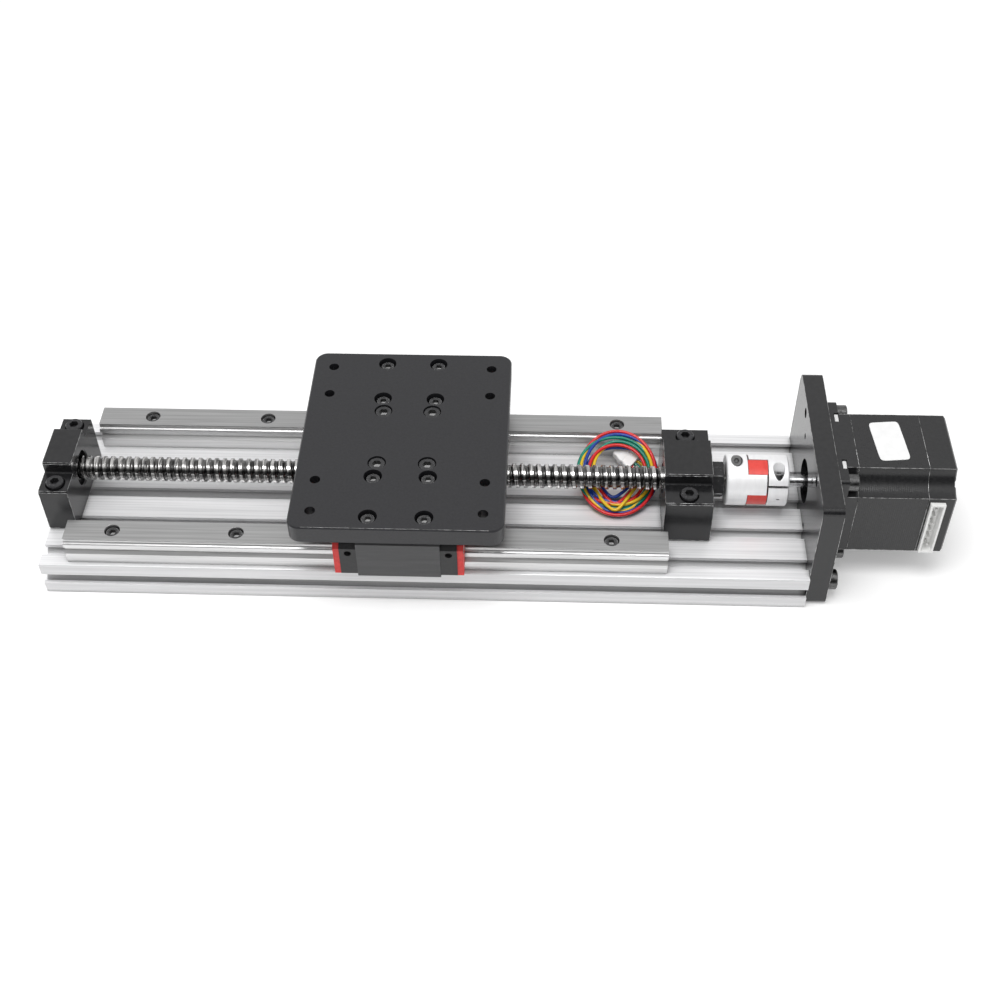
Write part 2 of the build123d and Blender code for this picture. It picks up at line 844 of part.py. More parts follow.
def motor_section():
    """A square with a round notch in each corner."""
    half = motor_square / 2
    section = Rectangle(motor_square, motor_square)
    for y in (-half, half):
        for z in (-half, half):
            section -= Pos(y, z) * Circle(motor_corner_notch)
    return section


def motor_front_bell():
    square = RectangleRounded(motor_square, motor_square, motor_flange_corner)
    flange = along_x(square, motor_face, motor_face + motor_flange_thickness)
    body = flange + along_x(motor_section(), motor_face, stator_start)
    body += rod(motor_boss / 2, motor_face - motor_boss_height, motor_face)
    seat_end = motor_bearing_front + motor_bearing_width
    body -= rod(motor_bearing_outer / 2 + seat_clearance, motor_bearing_front, stator_start + 1)
    body -= rod(stator_slot_outer, seat_end, stator_start + 1)
    body -= rod(motor_shaft_diameter / 2 + motor_shaft_gap, motor_plate_start, stator_start)
    body = lifted(body)
    for y, z in motor_mount_places:
        body -= clear_bore(motor_mount_thread, motor_face - 1, stator_start + 1, y, z)
        body -= rod(motor_head_pocket, motor_face + motor_flange_thickness, stator_start + 1, y, z)
    for y, z in motor_case_places:
        body -= clear_bore(motor_case_thread, motor_face + motor_case_floor, stator_start + 1, y, z)
    top = screw_axis_height + motor_square / 2
    pocket_end = motor_face + motor_flange_thickness
    half = flange_pocket_width / 2
    for y in (-flange_pocket_offset, flange_pocket_offset):
        start = pocket_end - flange_pocket_length
        body -= bar(start, pocket_end, y - half, y + half, top - flange_pocket_depth, top + 1)
    return body


def motor_stator():
    body = along_x(motor_section(), stator_start, stator_end) - rod(stator_bore / 2, 0, overall_length)
    start = stator_start - 1
    end = stator_end + 1
    mouth_outer = stator_slot_inner + winding_gap
    mouth_inner = stator_bore / 2 - 1
    for n in range(stator_slot_count):
        turn = 360 / stator_slot_count * (n + 0.5)
        body -= sector(stator_slot_outer, stator_slot_inner, stator_slot_spread, turn, start, end)
        body -= sector(mouth_outer, mouth_inner, stator_slot_mouth, turn, start, end)
    body = lifted(body)
    for y, z in motor_case_places:
        body -= clear_bore(motor_case_thread, start, end, y, z)
    return body


def motor_windings():
    coils = []
    start = stator_start - winding_overhang
    end = stator_end + winding_overhang
    spread = stator_slot_spread - math.degrees(2 * winding_gap / stator_slot_inner)
    for n in range(stator_slot_count):
        turn = 360 / stator_slot_count * (n + 0.5)
        outer = stator_slot_outer - winding_gap
        coils.append(sector(outer, stator_slot_inner + winding_gap, spread, turn, start, end))
    return group([lifted(coil) for coil in coils])


motor_case_head, motor_case_head_height, motor_case_hexagon = cap_screws[motor_case_thread]
motor_case_seat = motor_end - motor_case_head_height - motor_case_spare


def motor_rear_cap():
    body = along_x(motor_section(), stator_end, motor_end)
    body = chamfer(body.faces().sort_by(Axis.X)[-1].edges(), motor_rear_edge)
    body -= rod(stator_slot_outer, stator_end - 1, motor_bearing_rear)
    body -= rod(motor_bearing_outer / 2 + seat_clearance, stator_end, motor_end - motor_bell_wall)
    body = lifted(body)
    for y, z in motor_case_places:
        body -= clear_bore(motor_case_thread, stator_end - 1, motor_end + 1, y, z)
        body -= rod(motor_case_head / 2 + head_clearance, motor_case_seat, motor_end + 1, y, z)
    low = socket_middle - socket_length / 2 - seat_clearance
    high = socket_middle + socket_length / 2 + seat_clearance
    inner = socket_front + socket_depth + seat_clearance
    body -= bar(socket_start - seat_clearance, socket_end + seat_clearance, -motor_square, inner, low, high)
    return body


def motor_case_screws():
    length = motor_case_seat - motor_face - motor_case_floor - motor_case_spare
    screw = facing_x(cap_screw(motor_case_thread, length), 1)
    return group([Pos(motor_case_seat, y, z) * screw for y, z in motor_case_places])


def motor_mount_screws():
    seat = motor_face + motor_flange_thickness
    length = motor_flange_thickness + motor_plate_thickness - motor_mount_short
    screw = facing_x(cap_screw(motor_mount_thread, length), 1)
    return group([Pos(seat, y, z) * screw for y, z in motor_mount_places])


rotor_start = (stator_start + stator_end) / 2 - rotor_cup_length - rotor_magnet_length / 2
rotor_middle = rotor_start + rotor_cup_length
rotor_end = rotor_start + 2 * rotor_cup_length + rotor_magnet_length
rotor_bore = motor_shaft_diameter / 2 + seat_clearance


def motor_shaft():
    start = motor_face - motor_shaft_reach
    body = rod(motor_shaft_diameter / 2, start, motor_bearing_rear + motor_bearing_width)
    return lifted(chamfer(body.edges().filter_by(GeomType.CIRCLE), edge_break / 2))


def rotor_cups():
    first = ring(rotor_diameter / 2, rotor_bore, rotor_start, rotor_middle)
    second = ring(rotor_diameter / 2, rotor_bore, rotor_middle + rotor_magnet_length, rotor_end)
    return group([lifted(first), lifted(second)])


def rotor_magnet():
    end = rotor_middle + rotor_magnet_length
    return lifted(ring(rotor_magnet_diameter / 2, rotor_bore, rotor_middle, end))


def motor_label():
    label = Rectangle(label_length, label_width)
    label = fillet(label.vertices(), edge_break)
    top = screw_axis_height + motor_square / 2
    place = Pos(stator_start + motor_stator_length / 2, 0, top) * Rot(0, 0, label_turn)
    return place * extrude(label, amount=label_thickness)


# Motor socket, let into the side of the rear cap, with its mouth towards -Y

socket_start = stator_end + socket_margin
socket_middle = screw_axis_height - socket_drop
socket_end = socket_start + socket_width
socket_front = -motor_square / 2 - socket_proud
socket_floor = socket_front + socket_depth - socket_wall * 2


def motor_socket():
    low = socket_middle - socket_length / 2
    high = socket_middle + socket_length / 2
    wall = socket_wall
    body = bar(socket_start, socket_end, socket_front, socket_front + socket_depth, low, high)
    start = socket_start + wall
    end = socket_end - wall
    return body - bar(start, end, socket_front - 1, socket_floor, low + wall, high - wall)


def socket_pins():
    pitch = (socket_length - 4 * socket_wall) / pin_count
    middle = (socket_start + socket_end) / 2
    half = pin_side / 2
    pins = []
    for n in range(pin_count):
        z = socket_middle + pitch * (n - (pin_count - 1) / 2)
        tip = socket_floor - pin_length
        pins.append(bar(middle - half, middle + half, tip, socket_floor, z - half, z + half))
    return group(pins)


# Carriage: plate, spacers, bearing blocks and nut

block_rows = [-rail_offset, rail_offset]
plate_seat = plate_top - plate_counterbore_depth


def four_holes(spacing_x, spacing_y, middle=0.0):
    """The corners of a rectangle about the carriage's own middle."""
    columns = (block_rest_station - spacing_x / 2, block_rest_station + spacing_x / 2)
    return [(x, middle + b * spacing_y / 2) for x in columns for b in (-1, 1)]


block_hole_places = four_holes(block_hole_pitch, block_hole_pitch, -rail_offset)
block_hole_places += four_holes(block_hole_pitch, block_hole_pitch, rail_offset)
housing_hole_places = four_holes(housing_hole_pitch_x, housing_hole_pitch_y)
mounting_places = four_holes(mounting_spacing_x, mounting_spacing_y_outer)
mounting_places += four_holes(mounting_spacing_x, mounting_spacing_y_inner)


def carriage_plate():
    section = RectangleRounded(plate_length, plate_width, plate_corner)
    body = Pos(block_rest_station, 0, plate_bottom) * extrude(section, amount=plate_thickness)
    rims = body.edges().group_by(Axis.Z)
    body = chamfer(rims[0] + rims[-1], edge_break)
    for x, y in block_hole_places:
        body -= clear_hole(block_screw_thread, plate_bottom - 1, plate_top, x, y)
        body -= post(plate_counterbore / 2, plate_seat, plate_top + 1, x, y)
    for x, y in housing_hole_places:
        body -= clear_hole(housing_screw_thread, plate_bottom - 1, plate_top, x, y)
        body -= post(plate_counterbore / 2, plate_seat, plate_top + 1, x, y)
    for x, y in mounting_places:
        body -= post(mounting_hole / 2, plate_bottom - 1, plate_top + 1, x, y)
    return body


def block_channel_section(width, top):
    """The room that a block leaves for the rail, open at the bottom."""
    return Pos(0, top / 2) * Rectangle(width, top)


def ball_row_places():
    """Middles of the four ball rows, from the middle of the rail's underside."""
    half = rail_width / 2 - rail_groove_inset + ball_row_shift
    upper = rail_upper_groove + ball_row_shift
    lower = rail_lower_groove - ball_row_shift
    return [(side * half, height) for side in (-1, 1) for height in (upper, lower)]


def block_body(y):
    half = block_body_length / 2
    height = block_height - block_underside
    section = Pos(0, block_underside + height / 2) * Rectangle(block_width, height)
    section = chamfer(section.vertices(), block_edge)
    section -= block_channel_section(block_channel, block_channel_top)
    return_bore = ball_diameter / 2 + ball_clearance
    return_place = block_width / 2 - ball_diameter - return_bore_wall
    for across, up in ball_row_places():
        section -= Pos(across, up) * Circle(rail_groove_radius + ball_row_shift / 2)
        section -= Pos(math.copysign(return_place, across), up) * Circle(return_bore)
    body = Pos(0, y, base_top) * along_x(section, block_rest_station - half, block_rest_station + half)
    for x, row in four_holes(block_hole_pitch, block_hole_pitch, y):
        body -= clear_hole(block_screw_thread, block_top - block_thread_depth, block_top + 1, x, row)
    for side in (-1, 1):
        start, end = span(side, half - end_cap_screw_hole, half + 1)
        for row in end_screw_rows(y):
            body -= clear_bore(end_cap_screw_thread, start, end, row, end_screw_level)
    return body


end_screw_level = base_top + end_cap_screw_height
cap_face = block_body_length / 2 + end_cap_length
block_end = cap_face + end_seal_thickness


def end_screw_rows(y):
    return [y - end_cap_screw_spacing / 2, y + end_cap_screw_spacing / 2]


def end_section(width, bottom, top, gap):
    """The outline of an end cap or seal around the rail, with a gap all round."""
    shape = Pos(0, (bottom + top) / 2) * Rectangle(width, top - bottom)
    corners = shape.vertices().group_by(Axis.Y)[-1]
    shape = chamfer(corners, 2 * block_edge)
    return shape - block_channel_section(rail_width + 2 * gap, rail_height + gap)


def span(side, inner, outer):
    """The stations of a piece at one end of a block, in rising order."""
    ends = [block_rest_station + side * inner, block_rest_station + side * outer]
    return min(ends), max(ends)


def block_end_caps():
    caps = []
    section = end_section(end_cap_width, end_cap_underside, end_cap_top, 2 * running_clearance)
    for y in block_rows:
        for side in (-1, 1):
            start, end = span(side, block_body_length / 2, cap_face)
            body = Pos(0, y, base_top) * along_x(section, start, end)
            outer = y + math.copysign(end_cap_width / 2, y)
            port = Pos((start + end) / 2, outer, end_screw_level) * Rot(90, 0, 0)
            body -= port * Cylinder(end_cap_port / 2, 2 * end_cap_port_depth)
            for row in end_screw_rows(y):
                body -= clear_bore(end_cap_screw_thread, start - 1, end + 1, row, end_screw_level)
            caps.append(body)
    return group(caps)


def block_end_seals():
    seals = []
    width = end_cap_width - 2 * end_seal_inset
    bottom = end_cap_underside - end_seal_inset
    top = end_cap_top - end_seal_inset
    section = end_section(width, bottom, top, running_clearance)
    head_room = (cap_screws[end_cap_screw_thread][0] + head_clearance) / 2
    nipple_room = nipple_radius + head_clearance / 2
    for y in block_rows:
        for side in (-1, 1):
            start, end = span(side, cap_face, block_end)
            body = Pos(0, y, base_top) * along_x(section, start, end)
            for row in end_screw_rows(y):
                body -= rod(head_room, start - 1, end + 1, row, end_screw_level)
            if side < 0:
                body -= rod(nipple_room, start - 1, end + 1, y, base_top + nipple_height)
            seals.append(body)
    return group(seals)


def block_end_screws():
    screws = []
    for y in block_rows:
        for side in (-1, 1):
            screw = facing_x(cap_screw(end_cap_screw_thread, end_cap_length + end_cap_screw_grip), side)
            for row in end_screw_rows(y):
                screws.append(Pos(block_rest_station + side * cap_face, row, end_screw_level) * screw)
    return group(screws)


def grease_nipples():
    """One straight nipple on the far end of each block."""
    nipples = []
    face = block_rest_station - cap_face
    for y in block_rows:
        z = base_top + nipple_height
        body = rod(nipple_radius, face - end_seal_thickness, face, y, z)
        body += rod(nipple_radius * nipple_neck_share, face - nipple_length, face - end_seal_thickness, y, z)
        ball = Rot(0, 90, 0) * Sphere(nipple_radius * nipple_ball_share)
        nipples.append(body + Pos(face - nipple_length, y, z) * ball)
    return group(nipples)


def block_balls():
    balls = []
    pitch = (block_body_length - ball_diameter) / (balls_per_row - 1)
    first = block_rest_station - (block_body_length - ball_diameter) / 2
    for y in block_rows:
        for across, up in ball_row_places():
            for n in range(balls_per_row):
                place = Pos(first + pitch * n, y + across, base_top + up)
                balls.append(place * Sphere(ball_diameter / 2))
    return group(balls)


def block_spacers():
    spacers = []
    half_length = block_body_length / 2
    half_width = block_width / 2 - block_edge
    for y in block_rows:
        start, end = block_rest_station - half_length, block_rest_station + half_length
        body = bar(start, end, y - half_width, y + half_width, block_top, plate_bottom)
        for x, row in four_holes(block_hole_pitch, block_hole_pitch, y):
            body -= clear_hole(block_screw_thread, block_top - 1, plate_bottom + 1, x, row)
        spacers.append(body)
    return group(spacers)


def block_screws():
    length = plate_seat - block_top + block_screw_grip
    screw = cap_screw(block_screw_thread, length)
    return group([Pos(x, y, plate_seat) * screw for x, y in block_hole_places])


nut_start = block_rest_station - housing_length / 2 - nut_flange_thickness
nut_end = nut_start + nut_length + nut_flange_thickness
flange_screw_places = quarter_places(nut_bolt_circle / 2)


def nut_housing():
    start = block_rest_station - housing_length / 2
    half = housing_width / 2
    body = bar(start, start + housing_length, -half, half, plate_bottom - housing_height, plate_bottom)
    body = chamfer(body.edges().filter_by(Axis.X), edge_break)
    body -= lifted(rod(nut_body / 2 + seat_clearance, 0, overall_length))
    hole_bottom = plate_bottom - housing_screw_grip - housing_hole_spare
    for x, y in housing_hole_places:
        body -= clear_hole(housing_screw_thread, hole_bottom, plate_bottom + 1, x, y)
    for y, z in flange_screw_places:
        body -= clear_bore(nut_bolt_thread, start - 1, start + nut_bolt_grip + housing_hole_spare, y, z)
    return body


def ball_nut():
    flange_end = nut_start + nut_flange_thickness
    body = rod(nut_body / 2, flange_end - 1, nut_end)
    half = nut_flange_height / 2
    flats = bar(nut_start, flange_end, -nut_flange, nut_flange, -half, half)
    body += rod(nut_flange / 2, nut_start, flange_end) & flats
    body -= rod(nut_bore / 2, nut_start - 1, nut_end + 1)
    for end in (nut_start, nut_end):
        body -= rod(wiper_outer / 2 + seat_clearance, end - wiper_length, end + wiper_length)
    for x in nut_tracks:
        body -= Pos(x, 0, 0) * Rot(0, 90, 0) * Torus(nut_track_radius, nut_ball / 2 + nut_track_clearance)
    body = lifted(body)
    for y, z in flange_screw_places:
        body -= rod(nut_bolt_hole / 2, nut_start - 1, flange_end + 1, y, z)
    return body


nut_tracks = [nut_start + nut_flange_thickness + screw_lead * (n + 1.5) for n in range(nut_track_count)]


def ball_nut_balls():
    balls = []
    for x in nut_tracks:
        for n in range(nut_balls_per_track):
            angle = 2 * math.pi * n / nut_balls_per_track
            place = Pos(x, nut_track_radius * math.sin(angle), nut_track_radius * math.cos(angle))
            balls.append(lifted(place * Sphere(nut_ball / 2)))
    return group(balls)


def nut_wipers():
    inner = screw_diameter / 2 + running_clearance
    first = ring(wiper_outer / 2, inner, nut_start, nut_start + wiper_length)
    second = ring(wiper_outer / 2, inner, nut_end - wiper_length, nut_end)
    return group([lifted(first), lifted(second)])


def nut_flange_screws():
    screw = facing_x(cap_screw(nut_bolt_thread, nut_flange_thickness + nut_bolt_grip), -1)
    return group([Pos(nut_start, y, z) * screw for y, z in flange_screw_places])


def nut_housing_screws():
    length = plate_seat - plate_bottom + housing_screw_grip
    screw = cap_screw(housing_screw_thread, length)
    return group([Pos(x, y, plate_seat) * screw for x, y in housing_hole_places])


# Wiring harness: the outer shape of the stowed coil, and its plug

def harness_coil():
    outer = Ellipse(harness_half_length, harness_half_width)
    inner = Ellipse(harness_half_length - harness_band, harness_half_width - harness_band)
    body = extrude(outer - inner, amount=harness_thickness / 2, both=True)
    body = fillet(body.edges(), harness_thickness / 3)
    return Pos(harness_station, harness_middle, harness_middle_height) * Rot(harness_tilt, 0, 0) * body


def harness_plug():
    body = Box(plug_length, plug_width, plug_thickness)
    body = fillet(body.edges(), plug_edge)
    place = Pos(plug_station, plug_middle, plug_height) * Rot(harness_tilt, 0, 0)
    return place * Rot(0, 0, plug_turn) * body


def bearing_parts(bearings, index):
    """One of the four parts of each bearing, as separate solids of one node."""
    pieces = []
    for item in bearings:
        part = item[index]
        pieces += part if isinstance(part, list) else [part]
    return group(pieces)


nodes = {
    "base_profile": base_profile(),
    "rail_front": rail(-rail_offset, rail_first_hole_front),
    "rail_back": rail(rail_offset, rail_first_hole_back),
    "rail_screws": rail_screws(),
    "tee_nuts": tee_nuts(),
    "far_support_housing": far_support_housing(),
    "far_bearing_outer_ring": far_bearing[0],
    "far_bearing_inner_ring": far_bearing[1],
    "far_retaining_ring": retaining_ring(),
    "drive_support_housing": drive_support_housing(),
    "drive_support_cover": drive_support_cover(),
    "drive_support_cover_screws": drive_support_cover_screws(),
    "drive_support_seals": drive_support_seals(),
    "drive_bearing_outer_rings": bearing_parts(drive_bearings, 0),
    "drive_bearing_inner_rings": bearing_parts(drive_bearings, 1),
    "bearing_balls": bearing_parts([far_bearing] + drive_bearings + motor_bearings, 2),
    "support_bearing_shields": bearing_parts([far_bearing] + drive_bearings, 3),
    "support_bolts": support_bolts(),
    "ball_screw": ball_screw(),
    "drive_collars": drive_collars(),
    "lock_nut": lock_nut(),
    "lock_nut_set_screw": lock_nut_set_screw(),
    "coupling_hub_screw_side": coupling_hub_screw_side(),
    "coupling_hub_motor_side": coupling_hub_motor_side(),
    "coupling_spider": coupling_spider(),
    "coupling_clamp_screws": coupling_clamp_screws(),
    "motor_plate": motor_plate(),
    "motor_plate_screws": motor_plate_screws(),
    "motor_front_bell": motor_front_bell(),
    "motor_stator": motor_stator(),
    "motor_windings": motor_windings(),
    "motor_rear_cap": motor_rear_cap(),
    "motor_case_screws": motor_case_screws(),
    "motor_mount_screws": motor_mount_screws(),
    "motor_shaft": motor_shaft(),
    "rotor_cups": rotor_cups(),
    "rotor_magnet": rotor_magnet(),
    "motor_bearing_outer_rings": bearing_parts(motor_bearings, 0),
    "motor_bearing_inner_rings": bearing_parts(motor_bearings, 1),
    "motor_label": motor_label(),
    "motor_socket": motor_socket(),
    "socket_pins": socket_pins(),
    "carriage_plate": carriage_plate(),
    "block_front_body": block_body(-rail_offset),
    "block_back_body": block_body(rail_offset),
    "block_end_caps": block_end_caps(),
    "block_end_seals": block_end_seals(),
    "block_end_screws": block_end_screws(),
    "grease_nipples": grease_nipples(),
    "block_balls": block_balls(),
    "block_spacers": block_spacers(),
    "block_screws": block_screws(),
    "nut_housing": nut_housing(),
    "ball_nut": ball_nut(),
    "ball_nut_balls": ball_nut_balls(),
    "nut_wipers": nut_wipers(),
    "nut_flange_screws": nut_flange_screws(),
    "nut_housing_screws": nut_housing_screws(),
    "harness_coil": harness_coil(),
    "harness_plug": harness_plug(),
}

os.makedirs("parts", exist_ok=True)
for name, shape in nodes.items():
    export_step(Pos(-overall_length / 2, 0, 0) * shape, f"parts/{name}.step")
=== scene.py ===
import math

import bmesh
import bpy
import numpy as np
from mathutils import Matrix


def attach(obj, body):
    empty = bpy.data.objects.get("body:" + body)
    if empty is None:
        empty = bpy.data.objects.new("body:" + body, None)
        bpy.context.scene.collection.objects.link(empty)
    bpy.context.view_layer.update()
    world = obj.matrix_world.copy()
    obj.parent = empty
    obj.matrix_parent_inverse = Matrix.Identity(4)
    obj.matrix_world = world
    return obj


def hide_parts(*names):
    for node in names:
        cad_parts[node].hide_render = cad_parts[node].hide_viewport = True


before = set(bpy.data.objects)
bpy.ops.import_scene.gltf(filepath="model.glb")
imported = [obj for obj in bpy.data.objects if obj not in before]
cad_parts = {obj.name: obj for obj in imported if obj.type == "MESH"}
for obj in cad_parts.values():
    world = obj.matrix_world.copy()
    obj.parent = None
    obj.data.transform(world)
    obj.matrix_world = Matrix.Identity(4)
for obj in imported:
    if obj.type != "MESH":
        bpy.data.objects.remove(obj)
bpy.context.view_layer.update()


# Camera, studio and floor.
# The camera stands above the near side and looks down at about 44 degrees, as the module is shown
# on a white sweep under large soft lamps.

def placed(name, data):
    """A new object in the scene that holds the data."""
    made = bpy.data.objects.new(name, data)
    bpy.context.scene.collection.objects.link(made)
    return made


camera = placed("camera", bpy.data.cameras.new("camera"))
camera.location = (0.02685, -0.50848, 0.5551)
camera.rotation_euler = tuple(math.radians(a) for a in (43.5246, 0.5774, 2.0516))
camera.data.sensor_width = 36.0
camera.data.lens = 52.825
camera.data.clip_start, camera.data.clip_end = 0.01, 20.0
bpy.context.scene.camera = camera
bpy.context.scene.view_settings.view_transform = "Standard"


def lamp(name, place, size, power):
    """A square soft lamp that faces the module."""
    light = bpy.data.lights.new(name, "AREA")
    light.size = size
    light.energy = power
    towards = -np.array(place, float)
    turn = math.atan2(towards[1], towards[0])
    tilt = math.acos(-towards[2] / np.linalg.norm(towards))
    made = placed(name, light)
    made.location = place
    made.rotation_euler = (0.0, -tilt, turn + math.pi)


lamp("lamp_top", (-0.10, -0.30, 1.15), 0.6, 9.5)
lamp("lamp_back", (0.25, 0.95, 0.75), 0.8, 4.4)


def worked(tree, operation, first, second):
    """One sum in a material: each value is a number or the socket of another node."""
    step = tree.nodes.new("ShaderNodeMath")
    step.operation = operation
    for socket, value in zip(step.inputs, (first, second)):
        if isinstance(value, bpy.types.NodeSocket):
            tree.links.new(value, socket)
        else:
            socket.default_value = value
    return step.outputs[0]


def ranged(tree, value, before, after):
    """Carries a value from the range before over to the range after, and holds it at their ends."""
    step = tree.nodes.new("ShaderNodeMapRange")
    step.inputs["From Min"].default_value, step.inputs["From Max"].default_value = before
    step.inputs["To Min"].default_value, step.inputs["To Max"].default_value = after
    tree.links.new(value, step.inputs["Value"])
    return step.outputs["Result"]


def toned(tree, value, first, *between, last):
    """Turns a value into a tone through stops, each a place and a grey level or a colour."""
    ramp = tree.nodes.new("ShaderNodeValToRGB")
    stops = ramp.color_ramp.elements
    for stop, (place, tone) in ((stops[0], first), (stops[1], last)):
        stop.position, stop.color = place, (*np.broadcast_to(tone, 3).tolist(), 1)
    for place, tone in between:
        stops.new(place).color = (*np.broadcast_to(tone, 3).tolist(), 1)
    tree.links.new(value, ramp.inputs["Fac"])
    return ramp.outputs["Color"]


def mixed(tree, share, first, second):
    """Passes from the first shader to the second by the share."""
    mix = tree.nodes.new("ShaderNodeMixShader")
    for socket, value in zip(mix.inputs, (share, first, second)):
        tree.links.new(value, socket)
    return mix.outputs[0]


light_on_object = 0.62
room_front, room_back = (0.0, 0.05), (1.0, 0.86)
room_between = (0.20, 0.05), (0.27, 0.45), (0.32, 1.0), (0.41, 1.0), (0.47, 0.66), (0.56, 0.82)


def studio_sky(tree):
    """White to the camera, and one plain level where it lights the object. A reflection sees a white room
    that is dark low down at its front: the turn from front over top to back, atan2(z, -y), picks the tone."""
    path = tree.nodes.new("ShaderNodeLightPath")
    seen = worked(tree, "MAXIMUM", path.outputs["Is Camera Ray"], path.outputs["Is Transmission Ray"])
    place = tree.nodes.new("ShaderNodeTexCoord")
    split = tree.nodes.new("ShaderNodeSeparateXYZ")
    tree.links.new(place.outputs["Generated"], split.inputs[0])
    front = worked(tree, "MULTIPLY", split.outputs["Y"], -1.0)
    turn = worked(tree, "ARCTAN2", split.outputs["Z"], front)
    room = toned(tree, worked(tree, "DIVIDE", turn, math.pi), room_front, *room_between, last=room_back)
    levels = []
    for colour, strength in ((None, light_on_object), (room, 1.0), (None, 1.0)):
        level = tree.nodes.new("ShaderNodeBackground")
        level.inputs["Color"].default_value = (1, 1, 1, 1)
        level.inputs["Strength"].default_value = strength
        if colour:
            tree.links.new(colour, level.inputs["Color"])
        levels.append(level.outputs[0])
    mirrored = mixed(tree, path.outputs["Is Glossy Ray"], levels[0], levels[1])
    return mixed(tree, seen, mirrored, levels[2])


world = bpy.data.worlds.new("studio")
bpy.context.scene.world = world
world.use_nodes = True
world.node_tree.nodes.clear()
sky = studio_sky(world.node_tree)
world_end = world.node_tree.nodes.new("ShaderNodeOutputWorld")
world.node_tree.links.new(sky, world_end.inputs["Surface"])

floor_half = 4
floor_near, floor_far = 0.55, 1.60
lift_near, lift_far = 0.26, 0.80


def floor_material():
    """Matt white whose own light lifts it to plain white for the camera, and keeps the contact shadow. The
    lift grows with the distance from the module, because the lamps hardly reach the far floor."""
    made = bpy.data.materials.new("studio_floor")
    made.use_nodes = True
    tree = made.node_tree
    tree.nodes.clear()
    matt = tree.nodes.new("ShaderNodeBsdfDiffuse")
    matt.inputs["Color"].default_value = (0.86, 0.86, 0.86, 1)
    lift = tree.nodes.new("ShaderNodeEmission")
    lift.inputs["Color"].default_value = (1, 1, 1, 1)
    path = tree.nodes.new("ShaderNodeLightPath")
    seen = worked(tree, "MAXIMUM", path.outputs["Is Camera Ray"], path.outputs["Is Glossy Ray"])
    place = tree.nodes.new("ShaderNodeTexCoord")
    away = tree.nodes.new("ShaderNodeVectorMath")
    away.operation = "LENGTH"
    tree.links.new(place.outputs["Object"], away.inputs[0])
    need = ranged(tree, away.outputs["Value"], (floor_near, floor_far), (lift_near, lift_far))
    tree.links.new(worked(tree, "MULTIPLY", seen, need), lift.inputs["Strength"])
    both = tree.nodes.new("ShaderNodeAddShader")
    tree.links.new(matt.outputs[0], both.inputs[0])
    tree.links.new(lift.outputs[0], both.inputs[1])
    end = tree.nodes.new("ShaderNodeOutputMaterial")
    tree.links.new(both.outputs[0], end.inputs["Surface"])
    return made


floor_corners = [(x * floor_half, y * floor_half, 0) for x, y in ((-1, -1), (1, -1), (1, 1), (-1, 1))]
floor_mesh = bpy.data.meshes.new("studio_floor")
floor_mesh.from_pydata(floor_corners, [], [(0, 1, 2, 3)])
floor_mesh.materials.append(floor_material())
placed("studio_floor", floor_mesh)


# Wiring harness.
# Four thin stranded wires in coloured PVC insulation, wound by hand into a coil of about two and a
# half turns and pushed below the screw. They are crimped into one white nylon plug.

wire_diameter = 0.0017
coil_place = np.array((0.063, 0.012, 0.03015))
coil_tilt = math.radians(19.6)
coil_centre = (-0.0013, -0.0017)
coil_reach = (0.0198, 0.0238)


def tilted(points):
    """Points turned with the coil about the X axis, from flat to its tilt."""
    x, y, z = points.T
    return np.column_stack((x, y * math.cos(coil_tilt) - z * math.sin(coil_tilt),
                            y * math.sin(coil_tilt) + z * math.cos(coil_tilt)))


def on_coil(points):
    """Points given across, along and above the tilted coil, in mm, moved to their place."""
    return coil_place + tilted(np.array(points, float) * 0.001)


def wound(quarters):
    """The turns of one wire: an ellipse whose reach and height pass from one quarter turn's value to
    the next by a cosine step, starting on the left and going over the far side."""
    share, above = np.array(quarters, float).T
    step = np.arange(0, len(quarters) - 1 + 1e-9, 0.25)
    k = np.minimum(step.astype(int), len(quarters) - 2)
    ease = (1 - np.cos(np.pi * (step - k))) / 2
    reach = share[k] + (share[k + 1] - share[k]) * ease
    height = above[k] + (above[k + 1] - above[k]) * ease
    angle = np.pi - step * np.pi / 2
    across = coil_centre[0] + coil_reach[0] * reach * np.cos(angle)
    along = coil_centre[1] + coil_reach[1] * reach * np.sin(angle)
    return np.column_stack((across * 1000, along * 1000, height))


def insulation(name, colour):
    """Extruded PVC: slightly soft gloss, with a faint drift in tone along the wire."""
    made = bpy.data.materials.new(name)
    made.use_nodes = True
    tree = made.node_tree
    skin = tree.nodes["Principled BSDF"]
    skin.inputs["Roughness"].default_value = 0.24
    place = tree.nodes.new("ShaderNodeTexCoord")
    cloud = tree.nodes.new("ShaderNodeTexNoise")
    cloud.inputs["Scale"].default_value = 160.0
    cloud.inputs["Detail"].default_value = 3.0
    tree.links.new(place.outputs["Object"], cloud.inputs["Vector"])
    tone = toned(tree, cloud.outputs["Fac"], (0.3, [c * 0.8 for c in colour]), last=(0.7, colour))
    tree.links.new(tone, skin.inputs["Base Color"])
    dent = tree.nodes.new("ShaderNodeBump")
    dent.inputs["Strength"].default_value = 0.08
    dent.inputs["Distance"].default_value = 0.0002
    tree.links.new(cloud.outputs["Fac"], dent.inputs["Height"])
    tree.links.new(dent.outputs["Normal"], skin.inputs["Normal"])
    return made


def wire(name, points, material):
    """One wire as a smooth spline through its control points, with a round section."""
    curve = bpy.data.curves.new(name, "CURVE")
    curve.dimensions = "3D"
    spline = curve.splines.new("NURBS")
    spline.points.add(len(points) - 1)
    spline.points.foreach_set("co", np.column_stack((points, np.ones(len(points)))).ravel())
    spline.order_u = 3
    spline.use_endpoint_u = True
    spline.resolution_u = 5
    curve.bevel_depth = wire_diameter / 2
    curve.bevel_resolution = 3
    curve.use_fill_caps = True
    curve.materials.append(material)
    return placed(name, curve)


